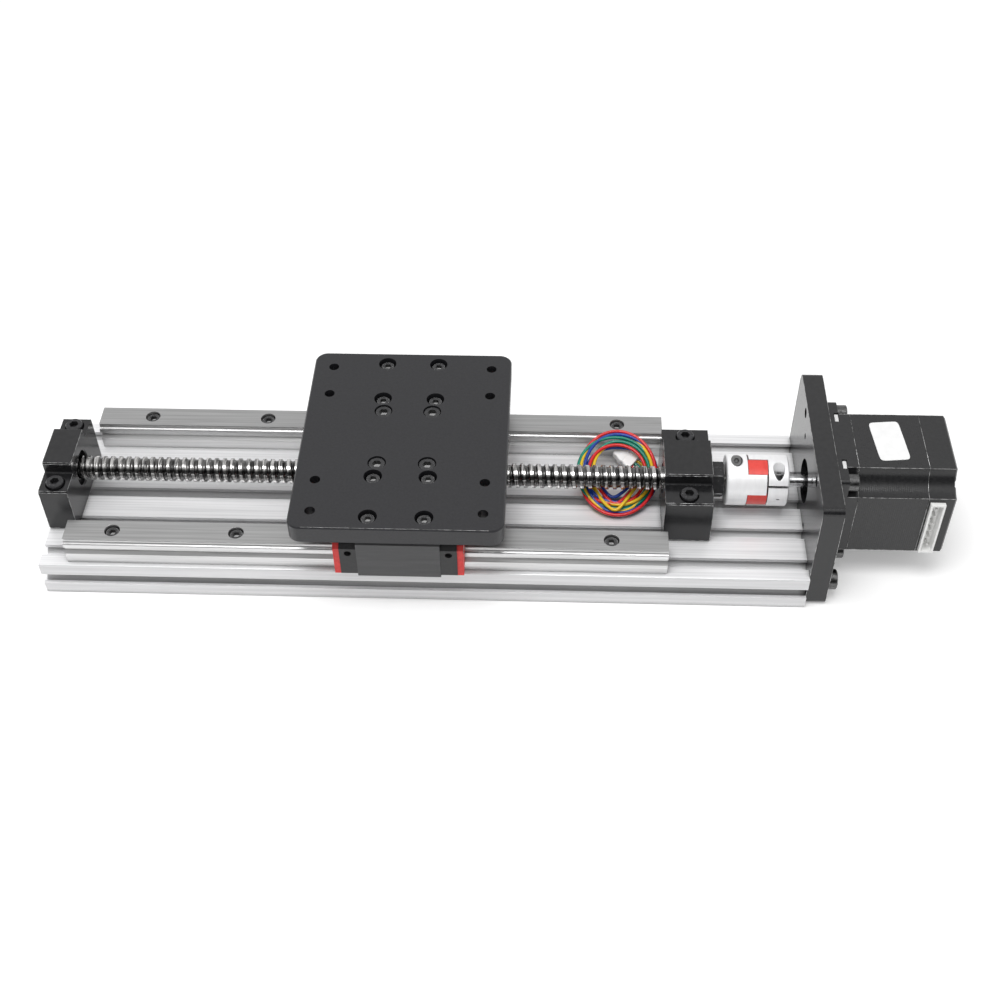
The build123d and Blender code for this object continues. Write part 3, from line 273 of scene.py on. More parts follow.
plug_place = np.array((0.0672, 0.0247, 0.0280))
plug_turn = math.radians(-40.0)
plug_half = (0.0059, 0.0061, 0.0028)


def on_plug(points):
    """Points given along, across and above the plug, in metres, moved to their place."""
    along, across, above = np.array(points, float).reshape(-1, 3).T
    x = along * math.cos(plug_turn) - across * math.sin(plug_turn)
    y = along * math.sin(plug_turn) + across * math.cos(plug_turn)
    return plug_place + tilted(np.column_stack((x, y, above)))


# each wire: colour, its place across the plug, the fold below the screw, and its quarter turns
wire_runs = {
    "wire_red": (
        (0.74, 0.016, 0.020), -0.0033,
        [(7.5, -9.5, 1.2), (2.0, -16.5, 1.2), (-2.2, -19.6, 1.1), (-6.0, -16.8, 1.1), (-10.6, -10.4, 1.1)],
        [(0.73, 1.3), (0.64, 1.3), (0.74, 1.2), (0.74, 1.0), (0.96, -0.9), (0.98, 1.0), (1.0, 1.0),
         (1.0, 0.8), (0.97, -0.8)]),
    "wire_green": (
        (0.0, 0.24, 0.16), -0.0011,
        [(6.6, -9.2, -0.6), (1.6, -16.0, -0.6), (-2.4, -20.2, -0.7), (-6.4, -15.8, -0.7),
         (-10.2, -9.4, -0.7)],
        [(0.68, -0.6), (0.73, 1.1), (0.84, 1.1), (0.80, -0.9), (1.02, 0.9), (0.82, 1.2), (0.94, -0.9),
         (0.84, -0.9), (0.88, -1.0)]),
    "wire_yellow": (
        (0.88, 0.58, 0.02), 0.0011,
        [(8.6, -9.8, 2.6), (2.4, -18.6, 2.6), (-2.2, -24.4, 2.4), (-8.4, -18.4, 1.6), (-12.6, -10.8, 0.9)],
        [(0.61, 1.0), (0.70, -0.9), (0.78, -0.9), (0.90, -0.8), (0.94, 1.0), (0.93, -0.8), (0.91, 1.0),
         (0.76, 1.0), (0.72, -1.0)]),
    "wire_blue": (
        (0.010, 0.055, 0.36), 0.0033,
        [(5.0, -9.4, 1.3), (1.0, -13.4, 1.3), (-3.2, -16.2, 1.2), (-6.8, -13.4, 1.2), (-9.0, -8.6, 1.0)],
        [(0.80, -0.9), (0.62, -0.9), (0.90, -1.0), (0.70, 1.0), (0.84, 1.1), (0.90, 1.2), (1.04, -0.8),
         (0.92, -0.6), (0.80, 1.1)]),
}
wires = {}
for wire_name, (wire_colour, wire_slot, wire_fold, wire_turns) in wire_runs.items():
    leaving = on_plug([(plug_half[0] + ahead, wire_slot, above)
                       for ahead, above in ((-0.0016, 0), (0.0016, 0), (0.0045, -0.0003))])
    line = np.vstack((leaving, on_coil(wire_fold + wound(wire_turns).tolist())))
    wires[wire_name] = wire(wire_name, line, insulation(wire_name, wire_colour))
    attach(wires[wire_name], "base")


def grid_faces(rows, columns, ring=False):
    """Faces of a grid that closes on itself across its columns, and with ring from last row to first too."""
    at = np.arange(rows * columns).reshape(rows, columns)
    if ring:
        at = np.vstack((at, at[:1]))
    at = np.hstack((at, at[:, :1]))
    return np.stack((at[:-1, :-1], at[1:, :-1], at[1:, 1:], at[:-1, 1:]), axis=-1).reshape(-1, 4)


def shell(name, grid):
    """An object with a closed skin over a grid of points, whose rows are rings."""
    mesh = bpy.data.meshes.new(name)
    mesh.from_pydata(grid.reshape(-1, 3).tolist(), [], grid_faces(*grid.shape[:2]).tolist())
    return placed(name, mesh)


def loaf(half, stations, sides=48):
    """A rounded box as a section carried along its length: at each station (place, share) the section
    is a superellipse of power 8, scaled by its share, and the ends close to a point."""
    angle = np.linspace(0, 2 * np.pi, sides, endpoint=False)
    across = np.sign(np.cos(angle)) * np.abs(np.cos(angle)) ** 0.25 * half[1]
    above = np.sign(np.sin(angle)) * np.abs(np.sin(angle)) ** 0.25 * half[2]
    return np.array([np.column_stack((np.full(sides, place * half[0]), across * share, above * share))
                     for place, share in stations])


plug_stations = [(-1, 0.0), (-1, 0.78), (-0.96, 0.9), (-0.4, 0.92), (-0.38, 1.0), (0.1, 1.0), (0.12, 0.93),
                 (0.3, 0.93), (0.32, 1.0), (0.95, 1.0), (1, 0.93), (1, 0.0)]
plug_grid = loaf(plug_half, plug_stations)
plug_grid[..., 1] *= 0.91 + 0.09 * plug_grid[..., 0] / plug_half[0]  # it narrows towards its mating end
plug_shell = shell("harness_plug_shell", on_plug(plug_grid).reshape(plug_grid.shape))


def finish(name, dark, light, roughness, metallic=0.0, grain=(1, 1, 1), scale=300.0, detail=4.0, bump=0.0,
           span=(0.3, 0.7), drift=0.08):
    """A worked surface: its tone passes from dark to light with a noise that the grain stretches, its
    roughness drifts with the same noise, and a finer noise gives its relief."""
    made = bpy.data.materials.new(name)
    made.use_nodes = True
    tree = made.node_tree
    skin = tree.nodes["Principled BSDF"]
    skin.inputs["Metallic"].default_value = metallic
    place = tree.nodes.new("ShaderNodeTexCoord")
    stretch = tree.nodes.new("ShaderNodeMapping")
    stretch.inputs["Scale"].default_value = grain
    tree.links.new(place.outputs["Object"], stretch.inputs["Vector"])
    cloud = tree.nodes.new("ShaderNodeTexNoise")
    cloud.inputs["Scale"].default_value = scale
    cloud.inputs["Detail"].default_value = detail
    tree.links.new(stretch.outputs["Vector"], cloud.inputs["Vector"])
    tone = toned(tree, cloud.outputs["Fac"], (span[0], dark), last=(span[1], light))
    tree.links.new(tone, skin.inputs["Base Color"])
    sheen = ranged(tree, cloud.outputs["Fac"], (0, 1), (max(roughness - drift, 0.02), roughness + drift))
    tree.links.new(sheen, skin.inputs["Roughness"])
    if bump:
        fine = tree.nodes.new("ShaderNodeTexNoise")
        fine.inputs["Scale"].default_value = scale * 4
        fine.inputs["Detail"].default_value = 2.0
        tree.links.new(stretch.outputs["Vector"], fine.inputs["Vector"])
        relief = tree.nodes.new("ShaderNodeBump")
        relief.inputs["Strength"].default_value = bump
        relief.inputs["Distance"].default_value = 0.0001
        tree.links.new(fine.outputs["Fac"], relief.inputs["Height"])
        tree.links.new(relief.outputs["Normal"], skin.inputs["Normal"])
    return made


plug_shell.data.materials.append(finish(
    "nylon_white", (0.92, 0.92, 0.91), (0.96, 0.96, 0.95), 0.40, scale=400, bump=0.1))
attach(plug_shell, "base")
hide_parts("harness_plug")
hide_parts("harness_coil")


# Base extrusion.
# One length of extruded aluminium with T-slots, left in its natural anodised silver. The die leaves
# fine streaks along it, and the two ends are sawn.

def dress(material, *nodes, edge=0.0):
    """Gives CAD pieces their material, and shades their round faces smooth while their edges stay crisp. With
    an edge, flat faces are made whole and each sharp edge gets a chamfer that wide, to catch the light."""
    for node in nodes:
        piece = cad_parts[node]
        piece.data.materials.clear()
        piece.data.materials.append(material)
        piece.data.polygons.foreach_set("use_smooth", [True] * len(piece.data.polygons))
        weld = piece.modifiers.new("weld", "WELD")
        weld.merge_threshold = 0.000002
        if edge:
            whole = piece.modifiers.new("whole", "DECIMATE")
            whole.decimate_type = "DISSOLVE"
            whole.angle_limit = math.radians(0.4)
            rim = piece.modifiers.new("rim", "BEVEL")
            rim.width = edge
            rim.segments = 2
            rim.limit_method = "ANGLE"
            rim.angle_limit = math.radians(34)
            flats = piece.modifiers.new("flats", "WEIGHTED_NORMAL")
            flats.weight = 90
        else:
            split = piece.modifiers.new("edges", "EDGE_SPLIT")
            split.split_angle = math.radians(28)


def dimmed(material, share):
    """Multiplies the material's tone by the share, which is the socket of a node."""
    tree = material.node_tree
    base = tree.nodes["Principled BSDF"].inputs["Base Color"]
    scaled = tree.nodes.new("ShaderNodeVectorMath")
    scaled.operation = "SCALE"
    tree.links.new(base.links[0].from_socket, scaled.inputs[0])
    tree.links.new(share, scaled.inputs["Scale"])
    tree.links.new(scaled.outputs["Vector"], base)
    return material


def openness(tree, reach):
    """How much of the room within the reach is open, from 0 in a tight corner to 1 on a free face."""
    near = tree.nodes.new("ShaderNodeAmbientOcclusion")
    near.samples = 6
    near.inputs["Distance"].default_value = reach
    return near.outputs["AO"]


def upward(tree):
    """How far the surface looks up: the z of its normal."""
    facing = tree.nodes.new("ShaderNodeNewGeometry")
    split = tree.nodes.new("ShaderNodeSeparateXYZ")
    tree.links.new(facing.outputs["Normal"], split.inputs[0])
    return split.outputs["Z"]


def painted_crevice_shade(material, reach, share):
    """Painted shade: multiplies the tone by the share in corners and gaps narrower than the reach, where
    light hardly comes."""
    tree = material.node_tree
    return dimmed(material, ranged(tree, openness(tree, reach), (0.25, 0.75), (share, 1.0)))


def painted_facing_light(material, side, top):
    """Painted light and shade: multiplies the tone by one share on upright faces and by another where the
    surface looks up, passing from one to the other between normal z 0.85 and 0.95."""
    tree = material.node_tree
    return dimmed(material, ranged(tree, upward(tree), (0.85, 0.95), (side, top)))


extrusion = finish("extruded_aluminium", (0.78, 0.78, 0.79), (0.95, 0.95, 0.96), 0.42, metallic=0.30,
                   grain=(0.012, 1, 0.6), scale=900, detail=6, bump=0.12, span=(0.30, 0.60))
# Painted light and shade: the tops lighter than the upright faces, and painted shade in the slots and
# corners.
dress(painted_crevice_shade(painted_facing_light(extrusion, 0.76, 0.98), 0.004, 0.22), "base_profile", edge=0.00025)


# Guide rails, their screws and the T-slot nuts below them.
# Hardened steel rails with ground tops. Black socket head screws pull each rail down on nuts that
# slide in the two outer slots.

rail_ground = finish("ground_rail", (0.60, 0.60, 0.60), (0.82, 0.82, 0.82), 0.32, metallic=0.8,
                     grain=(0.02, 1, 1), scale=800, detail=5, bump=0.08, drift=0.06)
# Painted light and shade: the ground tops darker than the flanks, and painted shade in the corners.
dress(painted_crevice_shade(painted_facing_light(rail_ground, 0.92, 0.56), 0.003, 0.22), "rail_front", "rail_back", edge=0.0002)


def painted_socket_glint(material, bright):
    """Painted shade and a painted glint in hexagon sockets: blackens the inside, where less than half of the
    room within 5 mm is open, and lightens the bottom, where the surface looks up too, as if it caught the
    light."""
    tree = material.node_tree
    base = tree.nodes["Principled BSDF"].inputs["Base Color"]
    closed = ranged(tree, openness(tree, 0.005), (0.55, 0.45), (0.0, 1.0))
    bottom = worked(tree, "MULTIPLY", closed, worked(tree, "GREATER_THAN", upward(tree), 0.9))
    for amount, level in ((closed, 0.004), (bottom, bright)):
        mix = tree.nodes.new("ShaderNodeMix")
        mix.data_type = "RGBA"
        tree.links.new(amount, mix.inputs[0])
        tree.links.new(base.links[0].from_socket, mix.inputs[6])
        mix.inputs[7].default_value = (level, level, level, 1)
        tree.links.new(mix.outputs[2], base)
    return material


socket_screw = finish("socket_screw", (0.034, 0.034, 0.036), (0.066, 0.066, 0.068), 0.26, metallic=0.5,
                      scale=900, bump=0.12, drift=0.05)
# Painted shade round the heads and in the sockets, and a painted glint at each socket's bottom.
socket_screw = painted_socket_glint(painted_crevice_shade(socket_screw, 0.0016, 0.10), 0.9)
zinc_nut = finish("zinc_plated", (0.50, 0.50, 0.48), (0.72, 0.72, 0.70), 0.35, metallic=1.0, scale=700,
                  bump=0.1)
dress(socket_screw, "rail_screws")
dress(zinc_nut, "tee_nuts")


# Far screw support.
# A black oxide steel block on two socket head bolts, with one deep-groove bearing held on the
# screw's journal by a retaining ring. Bright metal beads on its edges towards the near side are painted
# highlights.

def joined(name, *parts):
    """One object from several (points, faces) pairs, with the doubles at their seams merged."""
    total, points, faces = 0, [], []
    for part_points, part_faces in parts:
        points.append(part_points.reshape(-1, 3))
        faces.append(part_faces + total)
        total += len(points[-1])
    mesh = bpy.data.meshes.new(name)
    mesh.from_pydata(np.vstack(points).tolist(), [], np.vstack(faces).tolist())
    work = bmesh.new()
    work.from_mesh(mesh)
    bmesh.ops.remove_doubles(work, verts=work.verts, dist=1e-6)
    bmesh.ops.dissolve_degenerate(work, edges=work.edges, dist=1e-6)
    bmesh.ops.recalc_face_normals(work, faces=work.faces)
    work.to_mesh(mesh)
    work.free()
    mesh.polygons.foreach_set("use_smooth", [True] * len(mesh.polygons))
    return placed(name, mesh)


def tube(path, radius, sides=6, ring=False):
    """A round section carried along a path of points: at each one the circle stands square to the way on."""
    path = np.array(path, float)
    ahead = np.roll(path, -1, axis=0) - np.roll(path, 1, axis=0) if ring else np.gradient(path, axis=0)
    ahead /= np.linalg.norm(ahead, axis=1)[:, None]
    helper = np.where(np.abs(ahead[:, :1]) > 0.9, np.array([[0, 0, 1.0]]), np.array([[1.0, 0, 0]]))
    side = np.cross(ahead, helper)
    side /= np.linalg.norm(side, axis=1)[:, None]
    up = np.cross(side, ahead)
    angle = np.linspace(0, 2 * np.pi, sides, endpoint=False)
    circle = side[:, None] * np.cos(angle)[None, :, None] + up[:, None] * np.sin(angle)[None, :, None]
    grid = path[:, None] + radius * circle
    return grid, grid_faces(*grid.shape[:2], ring)


# Bright metal for beads that paint edge highlights, and for the motor's seams where the paint is rubbed
# through.
worn_and_highlight_steel = finish("worn_edge_and_highlight", (0.10, 0.10, 0.10), (0.60, 0.60, 0.60), 0.32, metallic=1.0, scale=420,
                    span=(0.36, 0.60))


def painted_edge_highlights(name, node, radius, shortest, body="base", where=lambda middle: True):
    """Painted highlights: thin bright metal beads that light up edges, one round bead along each sharp outer
    edge of a CAD piece that is straight for more than the shortest length, if where says yes to the edge's
    middle."""
    work = bmesh.new()
    work.from_mesh(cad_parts[node].data)
    bmesh.ops.remove_doubles(work, verts=work.verts, dist=2e-6)
    runs = [[tuple(v.co) for v in edge.verts] for edge in work.edges
            if len(edge.link_faces) == 2 and edge.calc_length() > shortest
            and edge.calc_face_angle_signed() > 0.5
            and where((edge.verts[0].co + edge.verts[1].co) / 2)]
    work.free()
    along = np.linspace(0.01, 0.99, 6)[:, None]
    made = joined(name, *[tube(first + (last - first) * along, radius) for first, last in np.array(runs)])
    made.data.materials.append(worn_and_highlight_steel)
    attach(made, body)


support_oxide = finish("support_black_oxide", (0.009, 0.009, 0.010), (0.017, 0.017, 0.018), 0.20,
                       metallic=0.1, grain=(1, 1, 0.4), scale=500, bump=0.06, drift=0.05)
# Painted shade in the bolts' sockets and round their heads.
bolt_oxide = painted_crevice_shade(finish("bolt_black_oxide", (0.026, 0.026, 0.028), (0.050, 0.050, 0.053), 0.26,
                             metallic=0.4, scale=900, bump=0.12, drift=0.05), 0.0022, 0.15)
oxide_screw = finish("black_oxide_screw", (0.010, 0.010, 0.011), (0.028, 0.028, 0.030), 0.24, metallic=0.5,
                     scale=900, bump=0.12, drift=0.05)
bearing_steel = finish("polished_bearing", (0.55, 0.55, 0.56), (0.72, 0.72, 0.73), 0.2, metallic=1.0,
                       scale=500)
dress(support_oxide, "far_support_housing", edge=0.0003)
# Painted highlights along the housing's near edges.
painted_edge_highlights("far_support_edge_highlights", "far_support_housing", 0.00010, 0.006,
             where=lambda middle: middle.y < 0.001)
dress(bearing_steel, "far_bearing_outer_ring", "far_bearing_inner_ring", "bearing_balls",
      "support_bearing_shields")
dress(oxide_screw, "far_retaining_ring")
dress(bolt_oxide, "support_bolts")


# Drive screw support.
# The fixed end of the screw: a black oxide block with a pair of bearings clamped by a screwed
# cover, collars and seals on both sides, and a hexagonal lock nut with its set screw.

seal_rubber = finish("seal_rubber", (0.010, 0.010, 0.010), (0.022, 0.022, 0.022), 0.6, scale=800, bump=0.2)
nut_oxide = finish("nut_black_oxide", (0.022, 0.022, 0.023), (0.040, 0.040, 0.042), 0.26, metallic=0.4,
                   scale=500, bump=0.08, drift=0.05)
dress(support_oxide, "drive_support_housing", "drive_support_cover", edge=0.0003)
# Painted highlights along the housing's near edges.
painted_edge_highlights("drive_support_edge_highlights", "drive_support_housing", 0.00010, 0.006,
             where=lambda middle: middle.y < 0.001)
dress(oxide_screw, "drive_support_cover_screws", "lock_nut_set_screw")
dress(seal_rubber, "drive_support_seals")
dress(bearing_steel, "drive_bearing_outer_rings", "drive_bearing_inner_rings")
dress(zinc_nut, "drive_collars")
dress(nut_oxide, "lock_nut", edge=0.0003)
# Painted highlights along the lock nut's edges.
painted_edge_highlights("lock_nut_edge_highlights", "lock_nut", 0.00010, 0.004, "screw")


# Ball screw.
# Rolled from bearing steel: one right-hand gothic groove of 4 mm lead on a 12 mm bar, with turned
# journals for the two supports and the coupling. It is oiled, so it reflects sharply.

screw_height = 0.037
screw_sides = 44
thread_lead, thread_crest, thread_root = 0.004, 0.0060, 0.0050
thread_from, thread_to = -0.2070, 0.0845
land_share = 0.43
run_out = thread_root * 0.98


def thread_surface():
    """The groove's section carried along a helix: a point at share v of the lead and turn u lies at
    x = lead times (u + v), and its radius follows the land, then a rounded dip down to the root."""
    share = np.array((0.0, 0.03, 0.22, 0.40, 0.43, 0.45, 0.50, 0.56, 0.64, 0.715, 0.79, 0.87, 0.93, 0.98))
    dip = np.clip((share - land_share) / (1 - land_share), 0, 1)
    depth = np.sqrt(np.clip(1 - (2 * dip - 1) ** 2, 0, 1)) ** 0.9
    radius = thread_crest - (thread_crest - thread_root) * depth
    turns = int(math.ceil((thread_to - thread_from) / thread_lead)) + 2
    turn = np.arange(turns * screw_sides + 1) / screw_sides - 1
    x = thread_from + thread_lead * (turn[:, None] + share[None, :])
    r = np.broadcast_to(radius, x.shape).copy()
    r[(x < thread_from) | (x > thread_to)] = run_out
    x = np.clip(x, thread_from, thread_to)
    angle = 2 * np.pi * turn[:, None]
    points = np.stack((x, r * np.cos(angle), screw_height + r * np.sin(angle)), axis=-1)
    count, width = x.shape
    at = np.arange(count * width).reshape(count, width)
    inside = np.stack((at[:-1, :-1], at[:-1, 1:], at[1:, 1:], at[1:, :-1]), axis=-1).reshape(-1, 4)
    joint = np.stack((at[:-1 - screw_sides, -1], at[screw_sides:-1, 0], at[screw_sides + 1:, 0],
                      at[1:-screw_sides, -1]), axis=-1)
    return points, np.vstack((inside, joint))


def turned(outline):
    """A bar turned about the screw's axis: each (x, radius) of the outline becomes one ring."""
    x, r = np.array(outline, float).T
    angle = np.linspace(0, 2 * np.pi, screw_sides, endpoint=False)
    ring_y = r[:, None] * np.cos(angle)
    ring_z = screw_height + r[:, None] * np.sin(angle)
    grid = np.stack((np.broadcast_to(x[:, None], ring_y.shape), ring_y, ring_z), axis=-1)
    return grid, grid_faces(*grid.shape[:2])


far_outline = [(-0.2175, 0.0), (-0.2175, 0.0027), (-0.2172, 0.0030), (-0.21574, 0.0030), (-0.21574, 0.00275),
               (-0.21502, 0.00275), (-0.21502, 0.0030), (-0.2090, 0.0030), (-0.2090, 0.00475),
               (thread_from, 0.00475), (thread_from, run_out)]
near_outline = [(thread_to, run_out), (thread_to, 0.0040), (0.1134, 0.0040), (0.1134, 0.0030),
                (0.1240, 0.0030), (0.1240, 0.0)]
threaded = joined("ball_screw_thread", thread_surface(), turned(far_outline), turned(near_outline))
screw_edges = threaded.modifiers.new("edges", "EDGE_SPLIT")
screw_edges.split_angle = math.radians(38)


def painted_groove_shade(material, dark):
    """Painted shade: multiplies the tone by the dark share at the bottom of the groove, where shade falls:
    its distance from the screw's axis, in centimetres, picks the share, which is 1 again on the journals and
    the land."""
    tree = material.node_tree
    place = tree.nodes.new("ShaderNodeTexCoord")
    from_axis = tree.nodes.new("ShaderNodeMapping")
    from_axis.inputs["Location"].default_value = (0, 0, -screw_height * 100)
    from_axis.inputs["Scale"].default_value = (0, 100, 100)
    tree.links.new(place.outputs["Object"], from_axis.inputs["Vector"])
    radius = tree.nodes.new("ShaderNodeVectorMath")
    radius.operation = "LENGTH"
    tree.links.new(from_axis.outputs["Vector"], radius.inputs[0])
    return dimmed(material, toned(tree, radius.outputs["Value"], (0.491, 1), (0.496, dark), (0.514, dark),
                                  last=(0.552, 1)))


rolled_steel = finish("rolled_screw", (0.10, 0.10, 0.10), (0.66, 0.65, 0.64), 0.17, metallic=1.0,
                      grain=(1, 0.10, 0.10), scale=1300, bump=0.12, span=(0.36, 0.60), drift=0.06)
# Painted shade at the bottom of the groove.
threaded.data.materials.append(painted_groove_shade(rolled_steel, 0.22))
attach(threaded, "screw")
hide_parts("ball_screw")


# Jaw coupling.
# Two clamping hubs turned and milled from aluminium, matt silver, with a red polyurethane spider
# between their jaws. A steel screw across each slit clamps the hub on its shaft.

hub_silver = finish("coupling_silver", (0.88, 0.88, 0.89), (0.95, 0.95, 0.96), 0.40, metallic=0.2,
                    grain=(1, 0.25, 0.25), scale=500, bump=0.08, drift=0.05)
spider_red = finish("spider_polyurethane", (0.68, 0.045, 0.035), (0.80, 0.07, 0.055), 0.38, scale=350,
                    bump=0.06)
clamp_screw = finish("clamp_screw", (0.24, 0.24, 0.24), (0.34, 0.34, 0.34), 0.30, metallic=1.0, scale=300,
                     bump=0.05)
# Painted shade in the hubs' slits and corners, and in the clamp screws' sockets and round their heads.
dress(painted_crevice_shade(hub_silver, 0.002, 0.3), "coupling_hub_screw_side", "coupling_hub_motor_side", edge=0.0003)
dress(spider_red, "coupling_spider")
dress(painted_crevice_shade(clamp_screw, 0.0016, 0.03), "coupling_clamp_screws")


# Motor plate.
# Cut and milled from 10 mm aluminium plate and anodised a glossy black. Two M6 screws hold it to the
# cores of the extrusion.

motor_plate_gloss = finish("glossy_anodised_plate", (0.010, 0.010, 0.011), (0.017, 0.017, 0.018), 0.20,
                           scale=600, bump=0.05, drift=0.05)
grey_screw = finish("grey_screw", (0.07, 0.07, 0.07), (0.17, 0.17, 0.17), 0.30, metallic=1.0, scale=800,
                    bump=0.1)
dress(motor_plate_gloss, "motor_plate", edge=0.0003)
# Painted highlights along the plate's edges.
painted_edge_highlights("motor_plate_edge_highlights", "motor_plate", 0.00009, 0.030)
dress(grey_screw, "motor_plate_screws")


# Stepper motor.
# Die-cast bells painted matt black on both sides of the laminated stator, with four case screws, and four
# mounting screws through the square flange. Bright metal beads along the seams and the corner notches are
# painted highlights, and at the seams the paint is also rubbed through; a blank label lies on top.

paint_dark, paint_light = (0.010, 0.010, 0.011), (0.017, 0.017, 0.018)


def laminated(material):
    """Stacked sheets under the paint: fine lines across the stack every half millimetre."""
    tree = material.node_tree
    place = tree.nodes.new("ShaderNodeTexCoord")
    lines = tree.nodes.new("ShaderNodeTexWave")
    lines.wave_type = "BANDS"
    lines.bands_direction = "X"
    lines.inputs["Scale"].default_value = 320.0
    lines.inputs["Distortion"].default_value = 0.4
    tree.links.new(place.outputs["Object"], lines.inputs["Vector"])
    relief = tree.nodes.new("ShaderNodeBump")
    relief.inputs["Strength"].default_value = 0.25
    relief.inputs["Distance"].default_value = 0.0001
    tree.links.new(lines.outputs["Fac"], relief.inputs["Height"])
    tree.links.new(relief.outputs["Normal"], tree.nodes["Principled BSDF"].inputs["Normal"])
    return material


dress(finish("motor_paint", paint_dark, paint_light, 0.30, scale=900, bump=0.15, drift=0.05),
      "motor_front_bell", "motor_rear_cap", edge=0.0003)
dress(laminated(finish("painted_laminations", paint_dark, paint_light, 0.30, scale=900)), "motor_stator",
      edge=0.0003)
dress(finish("enamelled_copper", (0.45, 0.16, 0.06), (0.62, 0.25, 0.10), 0.3, metallic=1.0,
             grain=(0.1, 1, 1), scale=900, bump=0.3), "motor_windings")
dress(oxide_screw, "motor_case_screws")
dress(grey_screw, "motor_mount_screws")
dress(finish("ground_shaft", (0.50, 0.50, 0.51), (0.68, 0.68, 0.69), 0.24, metallic=1.0,
             grain=(1, 0.3, 0.3), scale=700, bump=0.05), "motor_shaft", "rotor_cups")
dress(finish("magnet_grey", (0.10, 0.10, 0.10), (0.16, 0.16, 0.16), 0.5, metallic=0.7, scale=700),
      "rotor_magnet")
dress(bearing_steel, "motor_bearing_outer_rings", "motor_bearing_inner_rings")

motor_half, notch_radius, motor_from, motor_to = 0.0282, 0.0100, 0.1676, 0.2180
seam_stations = (0.1730, 0.2060)
notch_steps = 9


def motor_ring(station):
    """The motor's outline at one station: a square whose four corners are cut by quarter circles that bulge
    inwards, as the angle goes once round."""
    arc = np.linspace(0, np.pi / 2, notch_steps)
    y = motor_half - notch_radius * np.sin(arc)
    z = motor_half - notch_radius * np.cos(arc)
    corners = [np.column_stack((np.full(notch_steps, station), y * np.cos(turn) - z * np.sin(turn),
                                y * np.sin(turn) + z * np.cos(turn))) for turn in np.arange(4) * np.pi / 2]
    return np.vstack(corners) + (0, 0, screw_height)


# Painted highlights: bright metal beads round the seams, where the paint is also rubbed through, and along
# the corner notches.
seam_and_highlight_beads = [tube(motor_ring(station), 0.00014, ring=True) for station in seam_stations]
notch_edge = motor_half - notch_radius
for y, z in ((motor_half, notch_edge), (notch_edge, motor_half)):
    for y_side in (-1, 1):
        for z_side in (-1, 1):
            line = np.column_stack((np.linspace(motor_from, motor_to, 8), np.full(8, y * y_side),
                                    np.full(8, screw_height + z * z_side)))
            seam_and_highlight_beads.append(tube(line, 0.00012))
motor_seams_and_highlights = joined("motor_seam_and_highlight_beads", *seam_and_highlight_beads)
motor_seams_and_highlights.data.materials.append(worn_and_highlight_steel)
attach(motor_seams_and_highlights, "base")

# Two thin pale metal inserts in small pockets on the flange top give the two bright spots there.
pocket_half = (0.0009, 0.0026, 0.00035)
pocket_stations = [(-1, 0.0), (-1, 0.9), (-0.8, 1.0), (0.8, 1.0), (1, 0.9), (1, 0.0)]
for pocket_name, pocket_y in (("front", -0.016), ("back", 0.016)):
    pocket_insert = shell("bright_pocket_" + pocket_name,
                 loaf(pocket_half, pocket_stations, 24) + (0.1665, pocket_y, 0.06435))
    pocket_insert.data.materials.append(finish("pale_pocket_metal_" + pocket_name, (0.70, 0.70, 0.70), (0.92, 0.92, 0.92),
                                      0.3, metallic=0.6, scale=900, bump=0.2))
    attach(pocket_insert, "base")

label_middle = (0.1895, 0.0, 0.0652)
label_half = (0.00725, 0.0130)
label_turn = math.radians(5.5)
label_thickness = 0.0002


def label_grid(sides=64):
    """A thin sheet with rounded corners: rings of a superellipse of power 10, from the middle out to the
    rim, down its edge, and back to the middle below."""
    angle = np.linspace(0, 2 * np.pi, sides, endpoint=False)
    x = np.sign(np.cos(angle)) * np.abs(np.cos(angle)) ** 0.2 * label_half[0]
    y = np.sign(np.sin(angle)) * np.abs(np.sin(angle)) ** 0.2 * label_half[1]
    rows = [(0, 1), (0.5, 1), (0.985, 1), (1, 0.7), (1, 0), (0, 0)]
    flat = np.array([np.column_stack((x * share, y * share, np.full(sides, label_thickness * height)))
                     for share, height in rows])
    turned_x = flat[..., 0] * math.cos(label_turn) - flat[..., 1] * math.sin(label_turn)
    turned_y = flat[..., 0] * math.sin(label_turn) + flat[..., 1] * math.cos(label_turn)
    return np.stack((turned_x, turned_y, flat[..., 2]), axis=-1) + label_middle


label_sheet = shell("motor_label_sheet", label_grid())
label_sheet.data.materials.append(finish(
    "blank_label", (0.84, 0.84, 0.84), (0.90, 0.90, 0.90), 0.4, scale=250, bump=0.05))
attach(label_sheet, "base")
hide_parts("motor_label")


# Motor socket.
# A white nylon shell let into the side of the rear cap, with six tinned pins inside.
# The harness belongs in it, and is shown unplugged.

dress(finish("socket_nylon", (0.84, 0.84, 0.83), (0.90, 0.90, 0.89), 0.4, scale=400, bump=0.08),
      "motor_socket")
dress(finish("tinned_pin", (0.55, 0.55, 0.54), (0.66, 0.66, 0.65), 0.4, metallic=0.2, scale=900),
      "socket_pins")


# Bearing blocks.
# Ground steel bodies that run on the rails on four rows of balls. Black nylon end caps turn the
# balls back, and red seals are screwed over them; a grease nipple sits on each far end.

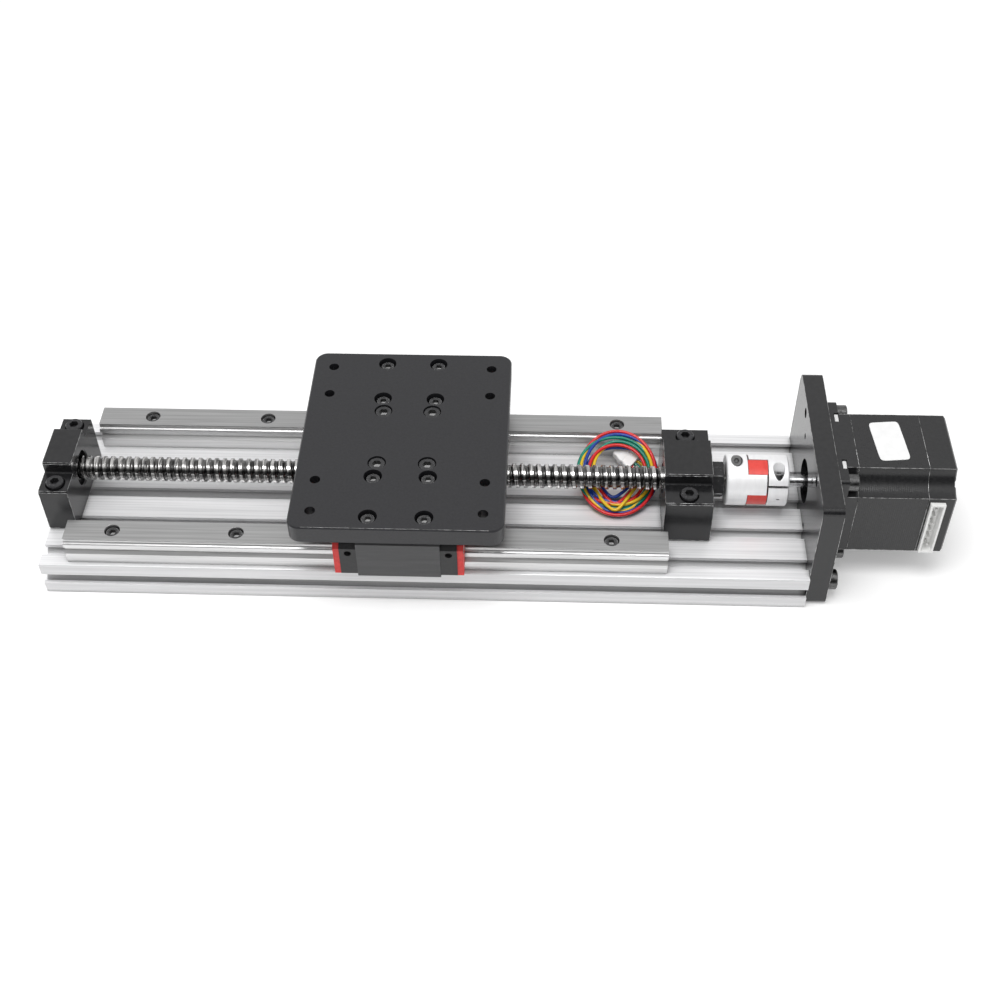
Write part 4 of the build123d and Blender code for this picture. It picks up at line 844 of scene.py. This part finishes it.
dress(finish("block_steel", (0.062, 0.062, 0.064), (0.078, 0.078, 0.080), 0.44, metallic=0.5,
             grain=(0.08, 1, 1), scale=500, bump=0.08, drift=0.04), "block_front_body", "block_back_body")
dress(finish("end_cap_nylon", (0.012, 0.012, 0.013), (0.022, 0.022, 0.023), 0.5, scale=700, bump=0.2),
      "block_end_caps")
dress(finish("seal_red", (0.55, 0.02, 0.02), (0.70, 0.035, 0.03), 0.45, scale=500, bump=0.1),
      "block_end_seals")
dress(zinc_nut, "block_end_screws")
dress(finish("plated_nipple", (0.40, 0.38, 0.30), (0.58, 0.55, 0.46), 0.3, metallic=1.0, scale=700),
      "grease_nipples")
dress(bearing_steel, "block_balls")
plate_anodised = finish("anodised_plate", (0.012, 0.012, 0.013), (0.020, 0.020, 0.021), 0.42, metallic=0.2,
                        scale=700, bump=0.22, drift=0.05)
dress(plate_anodised, "block_spacers")


# Carriage plate.
# The load's table: 10 mm aluminium plate, milled, drilled and anodised satin black, held to the
# blocks by eight screws and to the nut housing by four. A thin bright bead on its top front edge is a
# painted highlight.

dress(finish("anodised_table", (0.014, 0.014, 0.016), (0.020, 0.020, 0.023), 0.34, metallic=0.1, scale=900,
             bump=0.12, drift=0.04), "carriage_plate")
# A painted highlight along the plate's top front edge.
painted_edge_highlights("carriage_plate_edge_highlights", "carriage_plate", 0.00005, 0.050, "carriage",
             where=lambda middle: middle.y < -0.050 and middle.z > 0.062)
dress(socket_screw, "block_screws", "nut_housing_screws")


# Nut housing and ball nut.
# A black anodised bracket below the plate carries the ground steel nut by four screws through its flange;
# the nut's balls run in the screw's groove between two wipers.

dress(plate_anodised, "nut_housing")
dress(finish("nut_steel", (0.36, 0.36, 0.37), (0.55, 0.55, 0.56), 0.28, metallic=1.0, grain=(1, 0.3, 0.3),
             scale=600, bump=0.06), "ball_nut")
dress(bearing_steel, "ball_nut_balls")
dress(finish("wiper_nylon", (0.74, 0.73, 0.68), (0.82, 0.81, 0.76), 0.5, scale=500), "nut_wipers")
dress(oxide_screw, "nut_flange_screws")
